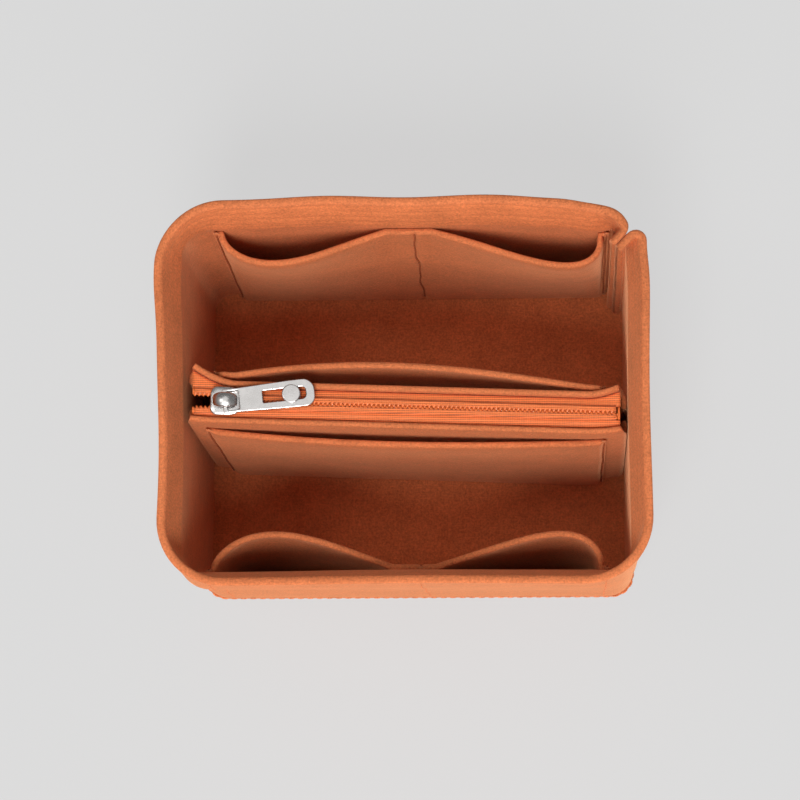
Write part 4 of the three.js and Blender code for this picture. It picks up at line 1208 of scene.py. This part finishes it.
class ORGANIZER_OT_stitches(bpy.types.Operator):
    """Add the rows of stitches, one piece for each row."""

    bl_idname = "organizer.stitches"
    bl_label = "Stitches"

    def execute(self, context):
        settings = context.scene.organizer_stitch
        felt = context.scene.organizer_felt
        wave = mm(felt.rim_wave)
        # The pocket rows' thread is darker than the felt: painted shade of the grooves that they lie in
        thread = shared("sewing_thread", thread_material, tuple(settings.colour), settings.thread)
        # The matched thread is the felt's face colour raised by a fifth: painted sheen in place of the felt's
        # sheen, which the thread's shader lacks
        matched = shared("matched_thread", thread_material, shade(felt.face, 1.2), settings.thread)
        for node, ends, normal in stitch_rows():
            in_groove = "under" not in node and "pocket" in node
            line = np.array(ends, float) + normal * (IN_GROOVE if in_groove else ON_FACE)
            rows = stitch_line(line, normal, settings, wave)
            piece = new_piece(node.replace("thread", "stitches"), *rows, [thread if in_groove else matched])
            finish_piece(piece, "organizer", "thread", node)
        outline = base_outline()
        outline = np.vstack([outline, outline[:1]])
        line = points_of(*(outline + left_of(outline) * 0.3).T, BASE_ROW)
        outward = points_of(*-left_of(outline).T, 0)
        piece = new_piece("base_seam_stitches", *stitch_line(line, outward, settings, wave), [matched])
        finish_piece(piece, "organizer", "thread", "base_seam_thread")
        lines = panel_lines(mm(felt.panel_thickness))
        x = np.linspace(-INNER_SIDE * ZIP_ROW_SHARE, INNER_SIDE * ZIP_ROW_SHARE, 60)
        for face, outward in SIDES:
            line = points_of(x, lines[face][2](x), TAPE_LEVEL - TAPE_LEG / 2 + 0.3)
            normal = np.array([0, outward, 0])
            row = stitch_line(line + ON_PANEL * normal, normal, settings, wave)
            piece = new_piece(f"zip_{face}_seam_stitches", *row, [matched])
            finish_piece(piece, "organizer", "thread", f"zip_{face}_seam_thread")
        return {"FINISHED"}


class ORGANIZER_OT_tapes(bpy.types.Operator):
    """Add the two woven tapes of the zip, with their ribs and the leg that is sewn to the panel."""

    bl_idname = "organizer.tapes"
    bl_label = "Zip Tapes"

    def execute(self, context):
        settings = context.scene.organizer_zip
        felt = context.scene.organizer_felt
        lines = panel_lines(mm(felt.panel_thickness))
        half = TAPE_THICKNESS / 2
        level = TAPE_LEVEL + half
        fold = 0.9
        for face, sign in SIDES:
            edge = beside(lines[face][1], -sign * (SEWN_GAP + half))
            columns, widths = [], []
            across = sign * (TAPE_SLOT / 2 + half)
            for x, y, _ in from_zip([(x, across, 0) for x in np.linspace(ZIP_LEFT, ZIP_RIGHT, 110)]):
                flat = abs(float(edge(x)) - y) - fold
                line = []
                for t in np.linspace(0, 1, 22) * flat:
                    ribs = sum(rise * math.exp(-(((t - at) / wide) ** 2)) for at, wide, rise in TAPE_RIBS)
                    line.append((t, ribs * smooth(flat - t, 0, 1)))
                bends = np.radians([22, 45, 68, 90])
                line += [(flat + fold * math.sin(a), fold * math.cos(a) - fold) for a in bends]
                line += [(flat + fold, -fold - (TAPE_LEG - fold) * k / 5) for k in range(1, 6)]
                line = np.array(line)
                widths.append(distances(line)[-1])
                normal = left_of(line)
                ring = np.vstack([line + normal * half, (line - normal * half)[::-1]])
                columns.append(points_of(x, y + sign * ring[:, 0], level + ring[:, 1]))
            grid = np.stack(columns)
            points = settled(grid.reshape(-1, 3), mm(felt.rim_wave))
            piece = new_piece(f"tape_{face}", points, ring_faces(*grid.shape[:2]), [woven_tape(settings)])
            finish_piece(piece, "organizer", "tape", f"zip_tape_{face}")
            run = (ZIP_RIGHT - ZIP_LEFT) * MM
            flat = (run, max(LEAST_SIDE, max(widths) * MM))
            run * sum(widths) / len(widths) * MM
        return {"FINISHED"}


class ORGANIZER_OT_chain(bpy.types.Operator):
    """Add the two nylon coils, as pieces that follow the slider: apart before it and closed behind it."""

    bl_idname = "organizer.chain"
    bl_label = "Zip Chain"

    def execute(self, context):
        settings = context.scene.organizer_zip
        pitch, wire = mm(settings.coil_pitch), mm(settings.wire)
        front = SLIDER_AT - SLIDER_LENGTH / 2

        def both_wires(turns, spread, *finish):
            """The wires of both rows, half a pitch apart."""
            return [coil(turns, spread, 1, wire, *finish), coil(turns + pitch / 2, spread, -1, wire, *finish)]

        def rows(name, turns, spread, thin=1.0, raised=0.0):
            """Both rows of a stretch of the chain, on their woven beds."""
            woven = [make(turns, spread, sign, raised) for make in (coil_bed, coil_cover) for sign in (1, -1)]
            return chain_piece(name, both_wires(turns, spread, thin, raised), woven, settings)

        # Apart at the open end
        turns = np.arange(ZIP_LEFT + COIL_END_GAP, front + OPEN_REACH, pitch)
        piece = rows("chain_open_end", turns, spread_at)
        finish_piece(piece, "organizer", "coil", "zip_coil_back", "zip_coil_front")

        # In the slider and behind it, carried by the slider over the closed chain that it overlaps
        end = ZIP_RIGHT - COIL_END_GAP - pitch / 2
        turns = np.arange(turns[-1], end - OPENING_TRAVEL - pitch, pitch)
        piece = rows("chain_in_slider", turns, spread_at, THINNER, RAISED)
        finish_piece(piece, "slider", "coil")

        # Closed as far as the right end
        first = turns[-2 - math.ceil(CLOSING_TRAVEL / pitch)]  # far enough back to leave no gap
        turns = np.arange(first, end, pitch)
        piece = rows("chain_closed", turns, lambda x: 0 * x)
        finish_piece(piece, "organizer", "coil")
        anchor = from_zip([(turns[-1], 0, COIL_LOW)])[0]
        np.array(SLIDE["axis"])
        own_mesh(piece)

        # Apart behind the opened slider: packed inside it at rest, with as many turns as the full opening
        # would draw out along the tapes
        begin, end = front + PACKED_START, front + PACKED_END
        shares = np.linspace(0, 1, 4000)
        reached = shares * (end - begin) + smooth(shares) * OPENING_TRAVEL
        turns = np.arange(0, reached[-1] - pitch / 2, pitch)

        def apart(x):
            return COIL_SPREAD - DRAWN_IN + 0 * x

        def pack(x):
            return begin + (end - begin) * np.interp(x, reached, shares)

        covers = [coil_cover((begin, end), apart, sign) for sign in (1, -1)]
        piece = chain_piece("chain_drawn_out", both_wires(turns, apart, THINNER, 0, pack), covers, settings)
        ends = from_zip([(begin, 0, COIL_LOW), (end, 0, COIL_LOW)]) * MM
        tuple(ends[0])
        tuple(ends[1])
        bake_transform(piece)
        return {"FINISHED"}


class ORGANIZER_OT_tacks(bpy.types.Operator):
    """Add the thread tacks that end the zip."""

    bl_idname = "organizer.tacks"
    bl_label = "Zip Tacks"

    def execute(self, context):
        settings = context.scene.organizer_zip
        wave = mm(context.scene.organizer_felt.rim_wave)
        thread = shared("tack_thread", thread_material, tuple(settings.tape_colour), 0.0004)
        for node in ("zip_tack_back", "zip_tack_front", "zip_tack_end"):
            low, high = (np.array(corner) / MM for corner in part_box(node))
            middle, half = (low + high) / 2, (high - low) / 2
            parts = []
            for k in range(TACK_THREADS):
                x = low[0] + TACK_RADIUS + (high[0] - low[0] - 2 * TACK_RADIUS) * k / (TACK_THREADS - 1)
                angle = np.linspace(0, math.pi, 9)
                y = middle[1] - (half[1] - TACK_INSET) * np.cos(angle)
                z = low[2] + TACK_INSET + (high[2] - low[2] - 2 * TACK_INSET) * np.sin(angle) ** 0.5
                parts.append(tube(points_of(x, y, z), TACK_RADIUS, 6, (1, 0, 0)))
            points, faces = joined(parts)
            piece = new_piece(node + "_thread", settled(points, wave), faces, [thread])
            finish_piece(piece, "organizer", "thread", node)
        return {"FINISHED"}


class ORGANIZER_OT_slider(bpy.types.Operator):
    """Add the slider: two plates on a post, side rails and the bridge that holds the pull."""

    bl_idname = "organizer.slider"
    bl_label = "Slider"

    def plate(self, front_half, back_half, levels):
        """A plate of the slider, in the zip's frame."""
        half = SLIDER_LENGTH / 2
        corners = [
            (-half, 0, 0),
            (-half, -front_half, SLIDER_CORNER),
            (SLIDER_TAPER_START, -front_half, SLIDER_SHOULDER),
            (half, -back_half, SLIDER_CORNER),
            (half, back_half, SLIDER_CORNER),
            (SLIDER_TAPER_START, front_half, SLIDER_SHOULDER),
            (-half, front_half, SLIDER_CORNER),
            (-half, 0, 0),
        ]
        outline = rounded_path(corners, (8, 2, 8, 8, 2, 8), (2, 4, 3, 4, 3, 4, 2))[:-1]
        points, faces = domed_plate(outline, levels)
        points[:, 0] += SLIDER_AT
        return points, faces

    def execute(self, context):
        metal = plated_metal(context.scene.organizer_zip)
        upper = plate_levels(UPPER_PLATE, UPPER_PLATE + SLIDER_PLATE, 0.4, SLIDER_BACK_HALF, 0.2)
        lower = plate_levels(LOWER_PLATE - SLIDER_PLATE, LOWER_PLATE, 0.3, SLIDER_BACK_HALF)
        parts = [
            self.plate(SLIDER_FRONT_HALF, SLIDER_BACK_HALF, upper),
            self.plate(SLIDER_LOWER_HALF, SLIDER_BACK_HALF, lower),
        ]
        post_at = SLIDER_AT - SLIDER_LENGTH / 2 + POST_SETBACK + POST_HALF_LENGTH
        angle = round_turn(24)
        post = points_of(post_at + POST_HALF_LENGTH * np.cos(angle), POST_HALF_WIDTH * np.sin(angle))
        parts.append(domed_plate(post, [(0, LOWER_PLATE - 0.2), (0, UPPER_PLATE + 0.2)]))
        for sign in (-1, 1):
            outer = SLIDER_FRONT_HALF - RAIL_SETBACK
            start, end = SLIDER_AT + SLIDER_CORNER - SLIDER_LENGTH / 2, SLIDER_AT + SLIDER_TAPER_START
            inner, middle = outer - RAIL_WIDTH, (start, outer - RAIL_WIDTH / 2, 0)
            places = (start, inner), (end, inner), (end, outer), (start, outer)
            corners = [(*place, RAIL_CORNER) for place in places]
            rail = rounded_path([middle, *corners, middle], (3,) * 4, (1,) * 5)[:-1] * (1, sign)
            foot = UPPER_PLATE - RAIL_DEPTH
            levels = [(0.1, foot), (0, foot + 0.1), (0, UPPER_PLATE + 0.2)]
            parts.append(domed_plate(rail, levels))
        points, faces = joined(parts)
        piece = new_piece("slider_plates", from_zip(points), faces, [metal])
        finish_piece(piece, "slider", "metal", "slider_body")

        # The bridge is a bent strip of metal, widest and domed over the bar
        thickness, width = BRIDGE_THICKNESS, BRIDGE_WIDTH
        foot = UPPER_PLATE + SLIDER_PLATE
        angle = np.linspace(-0.12, math.pi + 0.12, 33)
        reach = (BRIDGE_HALF_LENGTH - thickness / 2, BRIDGE_RISE - thickness / 2)
        middle = points_of(np.cos(angle), np.sin(angle)) * reach
        normal = left_of(middle)
        turn = round_turn(20)
        across, out = (np.sign(at) * np.abs(at) ** 0.6 for at in (np.cos(turn), np.sin(turn)))
        across, out = across * width / 2, out * thickness / 2
        columns = []
        for (x, z), (nx, nz) in zip(middle, normal):
            narrow = max(BRIDGE_NARROWEST, (1 - (abs(x) / BRIDGE_HALF_LENGTH) ** 3) ** 0.4)
            dome = BRIDGE_DOME * (across / (width / 2)) ** 2 * smooth(z, 0.4, 1.6)
            level = np.maximum(BAR_LEVEL + z + nz * out - dome, foot)
            columns.append(points_of(SLIDER_AT + x + nx * out, across * narrow, level))
        grid = np.stack(columns)
        points, faces = from_zip(grid.reshape(-1, 3)), ring_faces(*grid.shape[:2])
        piece = new_piece("slider_bridge_strip", points, faces, [metal])
        finish_piece(piece, "slider", "metal", "slider_bridge")
        return {"FINISHED"}


class ORGANIZER_OT_pull(bpy.types.Operator):
    """Add the pull tab and the round button in its slot."""

    bl_idname = "organizer.pull"
    bl_label = "Pull Tab"

    def outlines(self):
        """The tab's outer edge, its eye and its slot."""
        tab = [
            (TAB_REAR, 0, 0),
            (TAB_REAR, -TAB_HALF, 0.7),
            (TAB_WIDENS[0], -TAB_HALF, 8),
            (TAB_WIDENS[1], -TAB_TIP_HALF, 8),
            (TAB_TIP, -TAB_TIP_HALF, 3.2),
            (TAB_TIP, TAB_TIP_HALF, 4),
            (TAB_WIDENS[1], TAB_TIP_HALF, 8),
            (TAB_WIDENS[0], TAB_HALF, 8),
            (TAB_REAR, TAB_HALF, 0.7),
            (TAB_REAR, 0, 0),
        ]
        outer = rounded_path(tab, (4, 4, 4, 12, 12, 4, 4, 4), (1,) * 9)[:-1]
        return [outer, self.slot(*TAB_EYE), self.slot(*TAB_SLOT)]

    def slot(self, start, end, half, start_radius, end_radius):
        middle, lower = (start, 0, 0), [(start, -half, start_radius), (end, -half, end_radius)]
        upper = [(end, half, end_radius), (start, half, start_radius)]
        return rounded_path([middle, *lower, *upper, middle], (8,) * 4, (1,) * 5)[:-1]

    def place(self, piece):
        """Moves a mesh from the pull's own frame to the box's, at its bar."""
        bar = from_zip([(SLIDER_AT, TAB_SHIFT, BAR_LEVEL)])[0] * MM
        turn = Matrix.Rotation(POUCH_SKEW + TAB_YAW, 4, "Z")
        piece.data.transform(Matrix.Translation(Vector(bar)) @ turn)

    def execute(self, context):
        metal = plated_metal(context.scene.organizer_zip)
        curve = bpy.data.curves.new("pull_outline", "CURVE")
        curve.dimensions = "2D"
        curve.fill_mode = "BOTH"
        curve.extrude = (TAB_THICKNESS / 2 - TAB_EDGE) * MM
        curve.bevel_depth = TAB_EDGE * MM
        curve.bevel_resolution = 3
        curve.offset = -TAB_EDGE * MM
        for outline in self.outlines():
            spline = curve.splines.new("POLY")
            spline.points.add(len(outline) - 1)
            spline.points.foreach_set("co", points_of(*(outline * MM).T, 0, 1).ravel())
            spline.use_cyclic_u = True
        drawn = bpy.data.objects.new("pull_outline", curve)
        mesh = bpy.data.meshes.new_from_object(drawn)
        bpy.data.objects.remove(drawn)
        mesh.materials.clear()
        mesh.materials.append(metal)
        mesh.shade_smooth()
        mesh.set_sharp_from_angle(angle=SHARP_ANGLE)
        tab = bpy.data.objects.new("pull_tab_plate", mesh)
        context.scene.collection.objects.link(tab)
        self.place(tab)
        finish_piece(tab, "pull", "metal", "pull_tab")

        # The button's profile, from the middle of its lower head out and up to the middle of the upper one
        radius, edge, low, high = BUTTON_RADIUS, BUTTON_EDGE, BUTTON_LOW, BUTTON_HIGH
        bends = np.radians([0, 30, 60, 90])
        levels = [(0.01, -high), (1.5, -high)]
        levels += [(radius - edge * (1 - math.sin(t)), -high + edge * (1 - math.cos(t))) for t in bends]
        levels += [(radius, -low), (BUTTON_SHANK, -low), (BUTTON_SHANK, low), (radius, low)]
        levels += [(radius - edge * (1 - math.cos(t)), high - edge * (1 - math.sin(t))) for t in bends]
        levels += [(share * radius, high + 0.06 * (1 - share)) for share in (0.85, 0.6, 0.3, 0.01)]
        angle = round_turn(40)
        disc = points_of(radius * np.cos(angle), radius * np.sin(angle))
        points, faces = domed_plate(disc, [(radius - r, z) for r, z in levels])
        points[:, 0] += BUTTON_AT
        button = new_piece("pull_button_rivet", points, faces, [metal])
        button.data.set_sharp_from_angle(angle=SHARP_ANGLE)
        self.place(button)
        finish_piece(button, "button", "metal", "pull_button")
        return {"FINISHED"}


# Each light's name, size in metres, azimuth and elevation
LIGHTS = (
    ("front", 0.6, 266, 50),
    ("high", 0.4, 262, 65),
    ("side", 0.4, 180, 65),
    ("overhead", 0.9, 100, 80),
    ("low", 0.22, 284, 5),
)
LIGHT_DISTANCE = 1.6
LIT_PLACE = (0, 0, 0.06)
CAMERA_PLACE = (0.0518, -0.1863, 1.185)
IMAGE_SIDE = 800
STRAIGHT_DOWN = (563, 955)  # the pixel where lines that go straight down meet
SENSOR = 36


class ORGANIZER_OT_stage(bpy.types.Operator):
    """Set the floor, the lights and the camera at the photograph's angle."""

    bl_idname = "organizer.stage"
    bl_label = "Stage"

    def light(self, context, name, power, size, azimuth, elevation):
        """A round soft light that looks at the insert from a direction in degrees."""
        azimuth, elevation = math.radians(azimuth), math.radians(elevation)
        level = math.cos(elevation)
        away = Vector((math.cos(azimuth) * level, math.sin(azimuth) * level, math.sin(elevation)))
        lamp = bpy.data.lights.new(name, "AREA")
        lamp.energy = power
        lamp.shape = "DISK"
        lamp.size = size
        light = bpy.data.objects.new(name, lamp)
        light.location = Vector(LIT_PLACE) + away * LIGHT_DISTANCE
        light.rotation_euler = away.to_track_quat("Z", "Y").to_euler()
        context.scene.collection.objects.link(light)

    def execute(self, context):
        settings = context.scene.organizer_stage
        scene = context.scene
        half = settings.floor_size / 2
        mesh = bpy.data.meshes.new("floor")
        corners = [(-half, -half, 0), (half, -half, 0), (half, half, 0), (-half, half, 0)]
        mesh.from_pydata(corners, [], [(0, 1, 2, 3)])
        mesh.materials.append(floor_material("lit_table", tuple(settings.floor_colour), settings.floor_glow))
        floor = bpy.data.objects.new("floor", mesh)
        scene.collection.objects.link(floor)
        floor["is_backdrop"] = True

        world = bpy.data.worlds.new("surround")
        world.use_nodes = True
        set_values(world.node_tree.nodes["Background"], {"Color": (1, 1, 1, 1), "Strength": settings.sky})
        scene.world = world
        scene.view_settings.view_transform = "Standard"
        for name, size, azimuth, elevation in LIGHTS:
            self.light(context, name, getattr(settings, name + "_power"), size, azimuth, elevation)

        # The camera looks along the image's centre, and is turned until straight down is at its pixel
        focal = settings.lens / SENSOR * IMAGE_SIDE
        up = -unit(np.array([*(np.array(STRAIGHT_DOWN) - IMAGE_SIDE / 2), focal]))
        right = unit(np.array([1.0, 0, 0]) - up[0] * up)
        deep = np.cross(up, right)
        turn = np.stack([right, deep, up], axis=1)
        camera = bpy.data.cameras.new("camera")
        camera.lens = settings.lens
        camera.sensor_width = SENSOR
        camera.clip_end = 20
        eye = bpy.data.objects.new("camera", camera)
        columns = np.stack([turn[0], -turn[1], -turn[2]], axis=1)
        eye.matrix_world = Matrix.Translation(CAMERA_PLACE) @ Matrix(columns.tolist()).to_4x4()
        scene.collection.objects.link(eye)
        scene.camera = eye
        return {"FINISHED"}


class ORGANIZER_PT_panel(bpy.types.Panel):
    """Sizes, colours and pieces of the insert."""

    bl_idname = "ORGANIZER_PT_panel"
    bl_label = "Organizer"
    bl_space_type = "VIEW_3D"
    bl_region_type = "UI"
    bl_category = "Organizer"

    def draw(self, context):
        for group in SETTINGS:
            settings = getattr(context.scene, group)
            box = self.layout.box()
            for name in settings.__annotations__:
                box.prop(settings, name)
        for operator in OPERATORS:
            self.layout.operator(operator.bl_idname)


SETTINGS = {
    "organizer_felt": FeltSettings,
    "organizer_stitch": StitchSettings,
    "organizer_zip": ZipSettings,
    "organizer_stage": StageSettings,
}
OPERATORS = (
    ORGANIZER_OT_wall,
    ORGANIZER_OT_base,
    ORGANIZER_OT_pouch,
    ORGANIZER_OT_slip_pockets,
    ORGANIZER_OT_stitches,
    ORGANIZER_OT_tapes,
    ORGANIZER_OT_chain,
    ORGANIZER_OT_tacks,
    ORGANIZER_OT_slider,
    ORGANIZER_OT_pull,
    ORGANIZER_OT_stage,
)


def register():
    for each in (*SETTINGS.values(), *OPERATORS, ORGANIZER_PT_panel):
        bpy.utils.register_class(each)
    for name, group in SETTINGS.items():
        setattr(bpy.types.Scene, name, PointerProperty(type=group))


def unregister():
    for name in SETTINGS:
        delattr(bpy.types.Scene, name)
    for each in (ORGANIZER_PT_panel, *reversed(OPERATORS), *reversed(SETTINGS.values())):
        bpy.utils.unregister_class(each)


def main():
    register()
    for operator in OPERATORS:
        area, name = operator.bl_idname.split(".")
        getattr(getattr(bpy.ops, area), name)()
    boxes = {"cad": CAD_BOX, "visual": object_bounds()}
    lists = {name: [[float(v) for v in corner] for corner in box] for name, box in boxes.items()}


if __name__ == "__main__":
    main()
